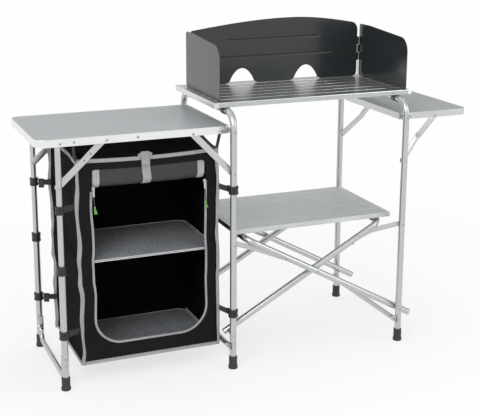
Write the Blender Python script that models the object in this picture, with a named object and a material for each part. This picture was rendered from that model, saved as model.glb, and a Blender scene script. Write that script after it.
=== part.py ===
"""A folding camping cupboard.

A tube stand with a scissor base carries a cook top with its windscreen, a lower shelf and a hinged
wing on the right. A side table stands on two telescopic legs on the left, and a soft cupboard hangs
under it. X runs along the front, +Y to the rear, +Z up. Lengths along X are measured from the stand's
left legs, and the whole part is then moved so that the middle of its outline is at X = 0.
"""
import math

import bmesh
import bpy
from mathutils import Matrix, Vector

# Clearances
touch = 0.0003          # between pieces that rest on or in each other
run = 0.0005            # beside a piece that turns

# Round tube
tube_sides = 12
bend_steps = 6
tube_r = 0.010
tube_wall = 0.0012
overrun = 0.004         # how far a cutter passes the face that it cuts

# Main stand: two arches of tube
stand_span = 0.573      # left legs to right legs
table_half_y = 0.181    # half the side table's depth, which the stand's depths follow
leg_out = 0.032         # leg axes outside the side table
leg_y = table_half_y + leg_out
stand_top = 0.785       # axis of the arch's top bar
stand_bend = 0.045
stretcher_r = 0.008
stretcher_z = 0.073
stretcher_end = 0.010   # past the leg's axis
flat_half = 0.0015      # a tube pressed flat, half its thickness
flat_spread = 0.0112    # a tube pressed flat, half its width
press_length = 0.016    # from round to flat

# Rubber feet
foot_height = 0.040
foot_wall = 0.0022
foot_ring = 0.0016
foot_ring_height = 0.010
foot_sole = 0.006

# Scissor base: two U frames that cross
frame_a_in = 0.045      # from the legs' axes
frame_b_in = 0.021
pivot_z = 0.108
arm_to_cross = 0.327    # lower pivot to the crossing
arm_to_bar = 0.595      # lower pivot to the bar across the top
shelf_bar_z = 0.395
frame_a_y = leg_y - frame_a_in
frame_b_y = leg_y - frame_b_in
frame_a_tail = 0.0137
frame_b_tail = 0.0555
scissor_bend = 0.035
peg_r = 0.005
peg_bite = 0.0025       # how deep a peg starts in the wall that carries it

# Flat links between legs and scissor
link_half = 0.0082
link_thick = 0.0024
link_left_leg_x = 0.008
link_leg_z = 0.391
link_left_below = 0.147     # along frame B, below its bar
link_right_below = 0.118    # along frame A, below its bar
link_drop = 0.005           # rivet below the tube's axis

# Slatted boards
board_thick = 0.0147
slat_groove = 0.003
slat_groove_deep = 0.006
slat_skin = 0.0015
slat_rib = 0.0014
shelf_slats = 6
cook_slats = 7
end_rail = 0.012
shelf_half_y = frame_a_y
shelf_left_over = 0.027     # past frame B's bar
shelf_right_over = 0.034    # past frame A's bar
cook_half_y = frame_a_y
cook_left_over = 0.043
cook_right_over = 0.0435
cook_round = 0.006
cook_channel = 0.015
cook_channel_wall = 0.001

# Windscreen: three sheets on two hinge pins
sheet = 0.0015
screen_y = 0.130            # middle of the rear sheet
screen_left_x = -0.008
screen_right_x = 0.582
screen_pin_out_left = 0.007
screen_pin_out_right = 0.0055
screen_pin_back = 0.002
pin_r = 0.0012
knuckle_r = 0.003
screen_fold_gap = 0.001
screen_left_height = 0.173
screen_arch_height = 0.2045
screen_right_height = 0.1775
screen_arch_share = 0.60
screen_shoulder_x = 0.020
screen_shoulder_z = 0.0215
vent_left_x = 0.119
vent_width = 0.1135
vent_height = 0.048
vent_pitch = 0.2258
screen_left_reach = 0.2855
screen_right_reach = 0.3055
screen_side_height = 0.174
screen_side_slope_share = 0.22      # of the reach, where the top starts to fall
screen_side_fall = 0.016
screen_side_nose = 0.042
knuckle_low_share = 0.30
knuckle_high_share = 0.74

# Wing on the right
wing_inner = 0.003          # inner edge, inside the right legs' plane
wing_width = 0.245
wing_wider = 0.004
wing_half_y = table_half_y + wing_wider
wing_top = 0.740
wing_band = 0.020
band = 0.0015
wing_board = 0.0037
board_sunk = 0.0005
wing_inner_round = 0.010
wing_outer_round = 0.028
wing_hinge_x = 0.027        # past the right legs
wing_hinge_drop = 0.009
bracket_thick = 0.0022
bracket_half = 0.009
bracket_rise = 0.001

# Knee braces
brace_half = 0.0095
brace_thick = 0.0020
wing_brace_leg_z = 0.595
wing_knee_out = 0.069
wing_knee_up = 0.072
wing_rivet_x = 0.122        # past the right legs
wing_rivet_drop = 0.0147

# Side table on the left
table_length = 0.567
table_top = 0.744
table_band = 0.022
table_board = 0.0038
table_outer_round = 0.030
table_inner_round = 0.012
table_hinge_x = 0.025
table_hinge_drop = 0.013
stand_brace_x = 0.112
stand_brace_drop = 0.0167
stand_brace_leg_z = 0.608

# Side legs
side_leg_x = 0.504
side_leg_in = 0.011         # leg axes inside the side table's edge
side_leg_y = table_half_y - side_leg_in
upper_r = 0.0085
upper_bottom = 0.305
side_pivot_drop = 0.014
upper_over = 0.003
lower_top = 0.372
collar_r = 0.014
collar_bottom = 0.350
collar_top = 0.376
side_brace_leg_drop = 0.1265
side_brace_knee_x = 0.4205
side_brace_knee_drop = 0.050
side_brace_table_x = 0.367
side_stretcher_r = 0.0075
side_stretcher_z = 0.030
side_stretcher_bend = 0.025
side_arm_in = 0.021
side_arm_y = side_leg_y - side_arm_in
side_arm_top = 0.104
side_arm_flat_bottom = 0.078
side_arm_flat_spread = 0.0095

# Soft cupboard
cloth = 0.0020
cup_left_x = 0.451
cup_right_x = 0.025
cup_front_in = 0.018        # from the side legs' axes
cup_back_in = 0.022
cup_front_y = side_leg_y - cup_front_in
cup_back_y = side_leg_y - cup_back_in
cup_bottom = 0.060
cup_top = 0.675
cup_round = 0.008
door_left_x = 0.407
door_right_x = 0.065
door_bottom = 0.115
door_top = 0.645
door_low_round = 0.080
door_high_round = 0.012
shelf_panel = 0.004
middle_panel_top = 0.372
strap_thick = 0.0014
strap_tall = 0.018
hanger_wide = 0.018
hanger_left_x = 0.460
hanger_right_x = 0.030
hanger_top = 0.731
hanger_in = 0.008           # from the cupboard's corner along X

# Rolled door
roll_left_x = 0.395
roll_right_x = 0.075
roll_z = 0.610
roll_core = 0.0050
roll_pitch = 0.0046
roll_cloth = 0.0037
roll_turns = 4
roll_turn_steps = 18
tie_left_x = 0.260
tie_right_x = 0.233
tie_thick = 0.0012
tie_top = 0.676
tie_back_top = 0.664
tie_wrap_start = math.radians(180)
tie_wrap_end = math.radians(472)
tie_steps = 14

# Zip sliders with their pulls
zip_width = 0.008
zip_body = 0.012
zip_deep = 0.0020
zip_pull_wide = 0.003
zip_tab_wide = 0.007
zip_left_top = 0.594
zip_left_tab_top = 0.538
zip_left_tab_bottom = 0.514
zip_right_top = 0.586
zip_right_tab_top = 0.516
zip_right_tab_bottom = 0.498
zip_out = 0.005             # from the door's edge

# Clips that hold the cupboard to the legs
clip_wall = 0.0042
clip_height = 0.024
clip_knob = 0.005
clip_knob_half = 0.004
clip_knob_tall = 0.012
side_clip_high = 0.528
side_clip_low = 0.156
stand_clip_high = 0.547
stand_clip_low = 0.165

outline_middle = (stand_span - wing_inner + wing_width - table_length) / 2
lean = math.asin((shelf_bar_z - pivot_z) / arm_to_bar)
scissor_steps = Vector((math.cos(lean), 0, math.sin(lean)))
cook_z = stand_top + tube_r + touch
tube_corner = 1 / math.cos(math.pi / tube_sides)   # a facet's corner stands this much further out
cook_upper = cook_z + board_thick


# Shapes

def fillet(a, b, c, radius, steps):
    """Points of an arc that rounds the corner b."""
    back, on = (a - b).normalized(), (c - b).normalized()
    half = back.angle(on) / 2
    start = b + back * (radius / math.tan(half))
    middle = b + (back + on).normalized() * (radius / math.sin(half))
    spoke = start - middle
    turn = math.pi - 2 * half
    axis = spoke.cross(b - middle).normalized()
    return [middle + Matrix.Rotation(turn * i / steps, 3, axis) @ spoke for i in range(steps + 1)]


def bent(points, radius, steps=bend_steps):
    """An open path with rounded corners."""
    points = [Vector(p) for p in points]
    path = [points[0]]
    for a, b, c in zip(points, points[1:], points[2:]):
        path += fillet(a, b, c, radius, steps)
    return path + [points[-1]]


def rounded(corners, radii, steps=bend_steps):
    """A closed outline with rounded corners, as pairs."""
    corners = [Vector((u, v, 0)) for u, v in corners]
    outline = []
    for i, corner in enumerate(corners):
        if radii[i]:
            after = corners[(i + 1) % len(corners)]
            outline += fillet(corners[i - 1], corner, after, radii[i], steps)
        else:
            outline.append(corner)
    return [(p.x, p.y) for p in outline]


def box_outline(u0, u1, v0, v1):
    return [(u0, v0), (u1, v0), (u1, v1), (u0, v1)]


def lifted(u, v, axis, along):
    """A flat outline's point in space; the outline's plane stands square to the axis."""
    return Vector({"x": (along, u, v), "y": (u, along, v), "z": (u, v, along)}[axis])


def closed(mesh):
    bmesh.ops.recalc_face_normals(mesh, faces=mesh.faces)
    return mesh


def slab(outline, axis, low, high):
    """An outline given thickness."""
    mesh = bmesh.new()
    ends = [[mesh.verts.new(lifted(u, v, axis, along)) for u, v in outline] for along in (low, high)]
    for end in ends:
        mesh.faces.new(end)
    for i in range(len(outline)):
        mesh.faces.new((ends[0][i - 1], ends[0][i], ends[1][i], ends[1][i - 1]))
    return closed(mesh)


def hoop(outer, inner, axis, low, high):
    """A band between two outlines that have the same number of points."""
    mesh = bmesh.new()
    loops = [[mesh.verts.new(lifted(u, v, axis, along)) for u, v in outline]
             for outline, along in ((outer, low), (outer, high), (inner, high), (inner, low))]
    for a, b in zip(loops, loops[1:] + loops[:1]):
        for i in range(len(outer)):
            mesh.faces.new((a[i - 1], a[i], b[i], b[i - 1]))
    return closed(mesh)


def tube(path, normal, halves, wall=tube_wall):
    """A hollow tube along a flat path; halves gives half its size along the normal and across it."""
    mesh = bmesh.new()
    skins = []
    for inset in (0, wall):
        rings = []
        for i, point in enumerate(path):
            ahead = path[min(i + 1, len(path) - 1)] - path[max(i - 1, 0)]
            across = normal.cross(ahead).normalized()
            along_normal, sideways = halves[i]
            ring = []
            for k in range(tube_sides):
                a = 2 * math.pi * (k + 1 / 2) / tube_sides
                ring.append(mesh.verts.new(point + normal * (along_normal - inset) * math.cos(a)
                                           + across * (sideways - inset) * math.sin(a)))
            rings.append(ring)
        skins.append(rings)
        for a, b in zip(rings, rings[1:]):
            for k in range(tube_sides):
                mesh.faces.new((a[k - 1], a[k], b[k], b[k - 1]))
    for end in (0, -1):
        outer, inner = skins[0][end], skins[1][end]
        for k in range(tube_sides):
            mesh.faces.new((outer[k - 1], outer[k], inner[k], inner[k - 1]))
    return closed(mesh)


def round_tube(path, normal, radius, wall=tube_wall):
    full = radius * tube_corner
    return tube(path, normal, [(full, full)] * len(path), wall + full - radius)


def turned(profile, x, y):
    """A profile of radius and height turned about an upright axis; radius 0 is a pole."""
    mesh = bmesh.new()
    rings = []
    for radius, z in profile:
        if radius:
            rings.append([mesh.verts.new((x + radius * math.cos(a), y + radius * math.sin(a), z))
                          for a in (2 * math.pi * (k + 1 / 2) / tube_sides for k in range(tube_sides))])
        else:
            rings.append([mesh.verts.new((x, y, z))] * tube_sides)
    pairs = list(zip(rings, rings[1:]))
    if profile[0][0]:
        pairs.append((rings[-1], rings[0]))
    for a, b in pairs:
        for k in range(tube_sides):
            corners = dict.fromkeys((a[k - 1], a[k], b[k], b[k - 1]))
            if len(corners) > 2:
                mesh.faces.new(tuple(corners))
    return closed(mesh)


def flat_bar(start, end, half, low, high):
    """A flat bar with round ends, upright, between two places in X and Z."""
    a, b = Vector((start[0], start[1], 0)), Vector((end[0], end[1], 0))
    ahead = (b - a).normalized()
    first = math.atan2(ahead.y, ahead.x) + math.pi / 2
    outline = []
    for centre, turn in ((a, first), (b, first + math.pi)):
        for i in range(bend_steps + 1):
            angle = turn + math.pi * i / bend_steps
            outline.append((centre.x + half * math.cos(angle), centre.y + half * math.sin(angle)))
    return slab(outline, "y", min(low, high), max(low, high))


def peg(x, z, radius, low, high):
    outline = [(x + radius * math.cos(2 * math.pi * k / tube_sides),
                z + radius * math.sin(2 * math.pi * k / tube_sides)) for k in range(tube_sides)]
    return slab(outline, "y", min(low, high), max(low, high))


def strip(start, end, wide, thick):
    """A straight strip from start to end; wide and thick are its full width and thickness vectors."""
    mesh = bmesh.new()
    ends = [[mesh.verts.new(at + wide * u / 2 + thick * v / 2)
             for u, v in ((-1, -1), (1, -1), (1, 1), (-1, 1))] for at in (start, end)]
    for end_face in ends:
        mesh.faces.new(end_face)
    for i in range(4):
        mesh.faces.new((ends[0][i - 1], ends[0][i], ends[1][i], ends[1][i - 1]))
    return closed(mesh)


def scratch_object(shape):
    mesh = bpy.data.meshes.new("shape")
    shape.to_mesh(mesh)
    shape.free()
    obj = bpy.data.objects.new("shape", mesh)
    bpy.context.collection.objects.link(obj)
    return obj


def joined(first, *others, cuts=()):
    """One closed shape from shapes that overlap, less the cuts."""
    objects = [scratch_object(shape) for shape in (first, *others, *cuts)]
    for i, other in enumerate(objects[1:]):
        union = objects[0].modifiers.new("join", "BOOLEAN")
        union.operation = "UNION" if i < len(others) else "DIFFERENCE"
        union.solver = "EXACT"
        union.object = other
    result = bmesh.new()
    result.from_object(objects[0], bpy.context.evaluated_depsgraph_get())
    for obj in objects:
        bpy.data.objects.remove(obj)
    return result


# Materials and placing

def look(name, colour, rough, metal=0.0):
    material = bpy.data.materials.new(name)
    material.use_nodes = True
    shader = material.node_tree.nodes["Principled BSDF"]
    shader.inputs["Base Color"].default_value = (*colour, 1.0)
    shader.inputs["Roughness"].default_value = rough
    shader.inputs["Metallic"].default_value = metal
    return material


pivots = {}


def pivot(name, x, y, z, parent=None):
    """An empty on a joint's axis."""
    empty = bpy.data.objects.new(name, None)
    bpy.context.collection.objects.link(empty)
    at = Vector((x, y, z))
    if parent:
        empty.parent = pivots[parent][0]
        empty.location = at - pivots[parent][1]
    else:
        empty.location = at - Vector((outline_middle, 0, 0))
    pivots[name] = (empty, at)


def place(name, shape, material, on):
    mesh = bpy.data.meshes.new(name)
    shape.to_mesh(mesh)
    shape.free()
    mesh.transform(Matrix.Translation(-pivots[on][1]))
    mesh.shade_smooth()
    mesh.set_sharp_from_angle(angle=math.radians(35))
    mesh.materials.append(material)
    obj = bpy.data.objects.new(name, mesh)
    bpy.context.collection.objects.link(obj)
    obj.parent = pivots[on][0]


# Pieces

def foot(x, y, carried_r):
    """A rubber cup with a thicker ring round its bottom."""
    outer = carried_r + touch + foot_wall
    inner = (carried_r + touch) / math.cos(math.pi / tube_sides)
    ring = outer + foot_ring
    return turned([(0, 0), (ring, 0), (ring, foot_ring_height), (outer, foot_ring_height + foot_ring),
                   (outer, foot_height), (inner, foot_height), (inner, foot_sole), (0, foot_sole)], x, y)


def arch_frame(x, bracket_x, bracket_z, inner_y, outward):
    """One end of the stand: an arch of tube with two hinge brackets for the table or wing beside it."""
    bottom = foot_sole + touch
    path = bent([(x, -leg_y, bottom), (x, -leg_y, stand_top), (x, leg_y, stand_top), (x, leg_y, bottom)],
                stand_bend)
    arch = round_tube(path, Vector((1, 0, 0)), tube_r)
    extras = []
    for s in (-1, 1):
        face = inner_y + touch
        extras.append(flat_bar((x, bracket_z + bracket_rise), (bracket_x, bracket_z), bracket_half,
                               s * face, s * (face + bracket_thick)))
        extras.append(peg(x, bracket_z + bracket_rise, peg_r, s * (face + bracket_thick / 2),
                          s * (leg_y - tube_r + peg_bite)))
    return joined(arch, *extras)


def leg_stretcher(x):
    """A tube across two legs, its ends pressed flat on the legs' left faces."""
    at = x - tube_r - touch - flat_half
    end = leg_y + stretcher_end
    flat_from = leg_y - tube_r - press_length / 4
    stations = [(-end, 1), (-flat_from, 1), (-flat_from + press_length / 2, 1 / 2),
                (-flat_from + press_length, 0), (flat_from - press_length, 0),
                (flat_from - press_length / 2, 1 / 2), (flat_from, 1), (end, 1)]
    path = [Vector((at, y, stretcher_z)) for y, _ in stations]
    halves = [(stretcher_r + (flat_half - stretcher_r) * share,
               stretcher_r + (flat_spread - stretcher_r) * share) for _, share in stations]
    return tube(path, Vector((1, 0, 0)), halves)


def scissor_frame(lower_x, way, half_y, tail, pegs):
    """A slanted U of tube; pegs lists distances up the arm, with where each peg ends along Y."""
    slope = Vector((way * scissor_steps.x, 0, scissor_steps.z))
    foot_at = Vector((lower_x, 0, pivot_z))
    side = Vector((0, half_y, 0))
    path = bent([foot_at - slope * tail - side, foot_at + slope * arm_to_bar - side,
                 foot_at + slope * arm_to_bar + side, foot_at - slope * tail + side], scissor_bend)
    frame = round_tube(path, slope.cross(Vector((0, 1, 0))), tube_r)
    extras = []
    for distance, peg_end in pegs:
        at = foot_at + slope * distance
        for s in (-1, 1):
            extras.append(peg(at.x, at.z, peg_r, s * (half_y + tube_r - peg_bite), s * peg_end))
    return joined(frame, *extras) if extras else frame


def slatted(x0, x1, half_y, z0, slats, nose):
    """A board of slats along X, hollow below, with an end rail at each end; nose rounds its right end."""
    top = z0 + board_thick
    seams = [half_y * (2 * i / slats - 1) for i in range(slats + 1)]
    under = top - slat_skin
    section = []
    for i, seam in enumerate(seams):
        before = 0 if i == 0 else slat_groove / 2 + slat_rib
        after = 0 if i == slats else slat_groove / 2 + slat_rib
        before = slat_rib if i == slats else before
        after = slat_rib if i == 0 else after
        if i:
            section += [(seam - before, under), (seam - before, z0)]
        else:
            section.append((seam, z0))
        if i < slats:
            section += [(seam + after, z0), (seam + after, under)]
        else:
            section.append((seam, z0))
    section.append((half_y, top))
    for seam in seams[-2:0:-1]:
        section += [(seam + slat_groove / 2, top), (seam + slat_groove / 2, top - slat_groove_deep),
                    (seam - slat_groove / 2, top - slat_groove_deep), (seam - slat_groove / 2, top)]
    section.append((-half_y, top))
    left_rail = slab(box_outline(x0, x0 + end_rail, z0, top), "y", -half_y, half_y)
    nose_outline = rounded(box_outline(x1 - end_rail, x1, z0, top), (0, nose, nose, 0))
    right_rail = slab(nose_outline, "y", -half_y, half_y)
    slats_solid = slab(section, "x", x0 + end_rail / 2, x1 - end_rail / 2 - nose)
    return joined(slats_solid, left_rail, right_rail)


def cook_top():
    left = -cook_left_over
    right = stand_span + cook_right_over
    board = slatted(left + cook_channel_wall, right, cook_half_y, cook_z, cook_slats, cook_round)
    wall = cook_channel_wall
    channel = slab(box_outline(left, left + cook_channel, cook_z - wall, cook_upper + wall), "y",
                   -cook_half_y - wall, cook_half_y + wall)
    return joined(board, channel)


def knuckles(pin_x, pin_y, shares, height, foot_z):
    """Short tubes round a hinge pin, between the given shares of the sheet's height."""
    rings = []
    bore = (pin_r + touch) / math.cos(math.pi / tube_sides)
    for low, high in shares:
        rings.append(turned([(bore, foot_z + height * low), (knuckle_r, foot_z + height * low),
                             (knuckle_r, foot_z + height * high), (bore, foot_z + height * high)],
                            pin_x, pin_y))
    return rings


knuckle_span = knuckle_high_share - knuckle_low_share
knuckle_gap_share = 0.006
side_shares = [(knuckle_low_share + knuckle_span / 3 + knuckle_gap_share,
                knuckle_low_share + knuckle_span * 2 / 3 - knuckle_gap_share)]
back_shares = [(knuckle_low_share, knuckle_low_share + knuckle_span / 3),
               (knuckle_low_share + knuckle_span * 2 / 3, knuckle_high_share)]
screen_foot = cook_upper + touch
pin_y = screen_y + screen_pin_back
pin_left_x = screen_left_x - screen_pin_out_left
pin_right_x = screen_right_x + screen_pin_out_right
fold_offset = screen_pin_back + sheet + screen_fold_gap


def screen_back():
    """The rear sheet, arched along its top, with two bell-shaped vents and its hinge knuckles."""
    corners, radii = [(screen_left_x, screen_foot)], [0]
    steps = 2 * bend_steps
    for i in range(2):
        start = vent_left_x + screen_left_x + vent_pitch * i
        for k in range(steps + 1):
            share = k / steps
            corners.append((start + vent_width * share,
                            screen_foot + vent_height * math.sin(math.pi * share) ** (4 / 5)))
            radii.append(0)
    corners.append((screen_right_x, screen_foot))
    corners.append((screen_right_x, screen_foot + screen_right_height - screen_shoulder_z))
    radii += [0, 0]
    crown = screen_left_x + (screen_right_x - screen_left_x) * screen_arch_share
    shoulder = screen_right_x - screen_shoulder_x
    for i in range(1, bend_steps):
        a = math.pi / 2 * i / bend_steps
        corners.append((shoulder + screen_shoulder_x * math.cos(a),
                        screen_foot + screen_right_height - screen_shoulder_z * (1 - math.sin(a))))
        radii.append(0)
    for start, end, end_height in ((shoulder, crown, screen_right_height),
                                   (screen_left_x, crown, screen_left_height)):
        curve = []
        for i in range(bend_steps + 1):
            share = i / bend_steps
            curve.append((start + (end - start) * share, screen_foot + end_height
                          + (screen_arch_height - end_height) * math.sin(math.pi / 2 * share)))
        if start == screen_left_x:
            curve = curve[-2::-1]
        corners += curve
        radii += [0] * len(curve)
    panel = slab(rounded(corners, radii), "y", screen_y - sheet / 2, screen_y + sheet / 2)
    extras = []
    for pin_x, edge, height in ((pin_left_x, screen_left_x, screen_left_height),
                                (pin_right_x, screen_right_x, screen_right_height)):
        extras += knuckles(pin_x, pin_y, back_shares, height, screen_foot)
        inward = math.copysign(1, edge - pin_x)
        near = pin_x + inward * (pin_r + touch + sheet / 4)
        for low, high in back_shares:
            outline = box_outline(min(near, edge + inward * sheet), max(near, edge + inward * sheet),
                                  screen_foot + height * low, screen_foot + height * high)
            extras.append(slab(outline, "y", screen_y - sheet / 2, screen_y + sheet / 2))
    return joined(panel, *extras)


def screen_side(pin_x, outward, reach, height):
    """A side sheet with a sloping, rounded front, hinged at the rear."""
    rear = pin_y
    front = rear - reach
    top = screen_foot + screen_side_height
    outline = rounded([(rear, screen_foot), (rear, top), (rear - reach * screen_side_slope_share, top),
                       (front, top - screen_side_fall), (front, screen_foot)],
                      (0, knuckle_r, 0, screen_side_nose, 0))
    middle = pin_x + outward * fold_offset
    panel = slab(outline, "x", middle - sheet / 2, middle + sheet / 2)
    rings = knuckles(pin_x, pin_y, side_shares, height, screen_foot)
    near = pin_x + outward * (pin_r + touch + sheet / 4)
    leaves = [slab(box_outline(min(near, middle), max(near, middle), pin_y - sheet, pin_y), "z",
                   screen_foot + height * low, screen_foot + height * high) for low, high in side_shares]
    return joined(panel, *rings, *leaves)


def screen_pin(pin_x, height):
    return turned([(0, screen_foot), (pin_r, screen_foot),
                   (pin_r, screen_foot + height * knuckle_high_share), (0, screen_foot
                   + height * knuckle_high_share)], pin_x, pin_y)


def rim(x0, x1, half_y, low, high, left_round, right_round):
    def loop(inset):
        radii = (left_round, right_round, right_round, left_round)
        return rounded(box_outline(x0 + inset, x1 - inset, -half_y + inset, half_y - inset),
                       [radius - inset for radius in radii])
    return hoop(loop(0), loop(band), "z", low, high)


def rim_board(x0, x1, half_y, high, thick, left_round, right_round):
    inset = band + touch
    radii = (left_round, right_round, right_round, left_round)
    outline = rounded(box_outline(x0 + inset, x1 - inset, -half_y + inset, half_y - inset),
                      [radius - inset for radius in radii])
    return slab(outline, "z", high - board_sunk - thick, high - board_sunk)


def side_leg(s):
    """The thin upper tube, with the peg on which it turns in the table's rim."""
    y = s * side_leg_y
    leg = round_tube([Vector((-side_leg_x, y, upper_bottom)),
                      Vector((-side_leg_x, y, table_top - side_pivot_drop + upper_over))],
                     Vector((1, 0, 0)), upper_r)
    stub = peg(-side_leg_x, table_top - side_pivot_drop, peg_r * 3 / 4,
               s * (side_leg_y + upper_r - peg_bite), s * (table_half_y - band - touch))
    return joined(leg, stub)


def side_collar(s):
    outer_bore = (tube_r + touch) / math.cos(math.pi / tube_sides)
    inner_bore = (upper_r + touch) / math.cos(math.pi / tube_sides)
    seat = lower_top + touch
    return turned([(outer_bore, collar_bottom), (collar_r, collar_bottom), (collar_r, collar_top),
                   (inner_bore, collar_top), (inner_bore, seat), (outer_bore, seat)],
                  -side_leg_x, s * side_leg_y)


def side_stretcher():
    """A U of tube between the side legs, its arms pressed flat on their inner faces."""
    flat_y = side_leg_y - tube_r - touch - flat_half
    low = side_stretcher_z
    down = [(-flat_y, side_arm_top, 1), (-flat_y, side_arm_flat_bottom, 1),
            (-(flat_y + side_arm_y) / 2, side_arm_flat_bottom - press_length / 2, 1 / 2),
            (-side_arm_y, side_arm_flat_bottom - press_length, 0)]
    bend = bent([(0, down[-1][0], down[-1][1]), (0, -side_arm_y, low), (0, side_arm_y, low),
                 (0, side_arm_y, down[-1][1])], side_stretcher_bend)
    middle = [(p.y, p.z, 0) for p in bend[1:-1]]
    up = [(-y, z, share) for y, z, share in reversed(down)]
    stations = down + middle + up
    full = side_stretcher_r
    return tube([Vector((-side_leg_x, y, z)) for y, z, _ in stations], Vector((1, 0, 0)),
                [(full + (side_arm_flat_spread - full) * share, full + (flat_half - full) * share)
                 for _, _, share in stations])


def cupboard():
    """The soft shell, open at the door, with its hangers and the straps to the leg clips."""
    x0, x1 = -cup_left_x, -cup_right_x
    shell = slab(rounded(box_outline(x0, x1, -cup_front_y, cup_back_y), [cup_round] * 4, 3), "z",
                 cup_bottom, cup_top)
    hollow = slab(rounded(box_outline(x0 + cloth, x1 - cloth, -cup_front_y + cloth, cup_back_y - cloth),
                          [cup_round - cloth] * 4, 3), "z", cup_bottom + cloth, cup_top - cloth)
    door = slab(rounded(box_outline(-door_left_x, -door_right_x, door_bottom, door_top),
                        (door_low_round, door_low_round, door_high_round, door_high_round)), "y",
                -cup_front_y - overrun, -cup_front_y + cloth + overrun)
    straps = []
    for corner_x, hanger_x, leg, high, low in (
            (x0, -hanger_left_x, (-side_leg_x, side_leg_y, upper_r, tube_r),
             side_clip_high, side_clip_low),
            (x1, -hanger_right_x, (0, leg_y, tube_r, tube_r), stand_clip_high, stand_clip_low)):
        inward = math.copysign(hanger_in, x0 + x1 - 2 * corner_x)
        for s in (-1, 1):
            side_y = s * (cup_front_y if s < 0 else cup_back_y)
            start = Vector((corner_x + inward, side_y - s * cloth / 2, cup_top - 2 * cloth))
            end = Vector((hanger_x, s * (table_half_y - band - touch - strap_thick), hanger_top))
            ahead = (end - start).normalized()
            wide = Vector((1, 0, 0)) - ahead * ahead.x
            straps.append(strip(start, end, wide.normalized() * hanger_wide,
                                ahead.cross(wide).normalized() * strap_thick))
            for clip_z, leg_r in ((high, leg[2]), (low, leg[3])):
                z = clip_z + clip_height / 2
                corner = Vector((corner_x + inward / hanger_in * cup_round / 2,
                                 side_y - s * cup_round / 2, z))
                ring = Vector((leg[0], s * leg[1], z))
                ahead = (corner - ring).normalized()
                ring += ahead * (leg_r + touch + clip_wall + 2 * touch)
                straps.append(strip(corner, ring, Vector((0, 0, strap_tall)),
                                    ahead.cross(Vector((0, 0, strap_thick)))))
    return joined(shell, *straps, cuts=(hollow, door))


def shelf_board(top):
    inset = cloth + touch
    x0, x1 = -cup_left_x + inset, -cup_right_x - inset
    outline = rounded(box_outline(x0, x1, -cup_front_y + inset, cup_back_y - inset),
                      [cup_round - inset] * 4, 3)
    return slab(outline, "z", top - shelf_panel, top)


roll_outer = roll_core + roll_pitch * roll_turns
roll_y = -cup_front_y + roll_outer + roll_cloth / 2


def rolled_door():
    """The door's cloth, rolled up from its lower edge and hung from the top of the opening."""
    steps = roll_turns * roll_turn_steps
    left, right = [], []
    for i in range(steps + 1):
        a = math.pi + 2 * math.pi * (roll_turns - i / roll_turn_steps)
        radius = roll_core + roll_pitch * i / roll_turn_steps
        for side, offset in ((left, roll_cloth / 2), (right, -roll_cloth / 2)):
            side.append((roll_y + (radius + offset) * math.cos(a), roll_z + (radius + offset) * math.sin(a)))
    top = door_top - touch
    left.append((left[-1][0], top))
    right.append((left[-1][0] + cloth, top))
    return slab(left + right[::-1], "x", -roll_left_x, -roll_right_x)


def door_tie():
    """A band of webbing that goes round the roll and up to the cupboard's top edge."""
    front = -cup_front_y - touch - tie_thick / 2
    reach = roll_y - front
    path = [Vector((front, tie_top))]
    for i in range(tie_steps + 1):
        a = tie_wrap_start + (tie_wrap_end - tie_wrap_start) * i / tie_steps
        path.append(Vector((roll_y + reach * math.cos(a), roll_z + reach * math.sin(a))))
    inner = -cup_front_y + cloth + touch + tie_thick / 2
    path += [Vector((inner, door_top + tie_thick)), Vector((inner, tie_back_top))]
    near, far = [], []
    for i, point in enumerate(path):
        ahead = (path[min(i + 1, len(path) - 1)] - path[max(i - 1, 0)]).normalized()
        across = Vector((-ahead.y, ahead.x)) * tie_thick / 2
        near.append(tuple(point + across))
        far.append(tuple(point - across))
    return slab(near + far[::-1], "x", -tie_left_x, -tie_right_x)


def zip_slider(x, top, tab_top, tab_bottom):
    """Slider, cord and tab in one, just in front of the cloth."""
    front = -cup_front_y - touch
    body = slab(box_outline(x - zip_width / 2, x + zip_width / 2, top - zip_body, top), "y",
                front - zip_deep, front)
    pull = slab(box_outline(x - zip_pull_wide / 2, x + zip_pull_wide / 2, tab_top - zip_body / 4,
                            top - zip_body / 2), "y", front - zip_deep * 3 / 4, front - zip_deep / 4)
    tab = slab(box_outline(x - zip_tab_wide / 2, x + zip_tab_wide / 2, tab_bottom, tab_top), "y",
               front - zip_deep, front)
    return joined(body, pull, tab)


def leg_clip(x, y, z, leg_r, outward):
    """A plastic ring round a leg with a knob on its front or rear."""
    bore = (leg_r + touch) / math.cos(math.pi / tube_sides)
    outer = leg_r + touch + clip_wall
    ring = turned([(bore, z), (outer, z), (outer, z + clip_height), (bore, z + clip_height)], x, y)
    middle = z + clip_height / 2
    face = y + outward * (outer - clip_wall / 2)
    knob = slab(box_outline(x - clip_knob_half, x + clip_knob_half, middle - clip_knob_tall / 2,
                            middle + clip_knob_tall / 2), "y", min(face, face + outward * clip_knob),
                max(face, face + outward * clip_knob))
    return joined(ring, knob)


# The object

for old in list(bpy.data.objects):
    bpy.data.objects.remove(old)

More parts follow.
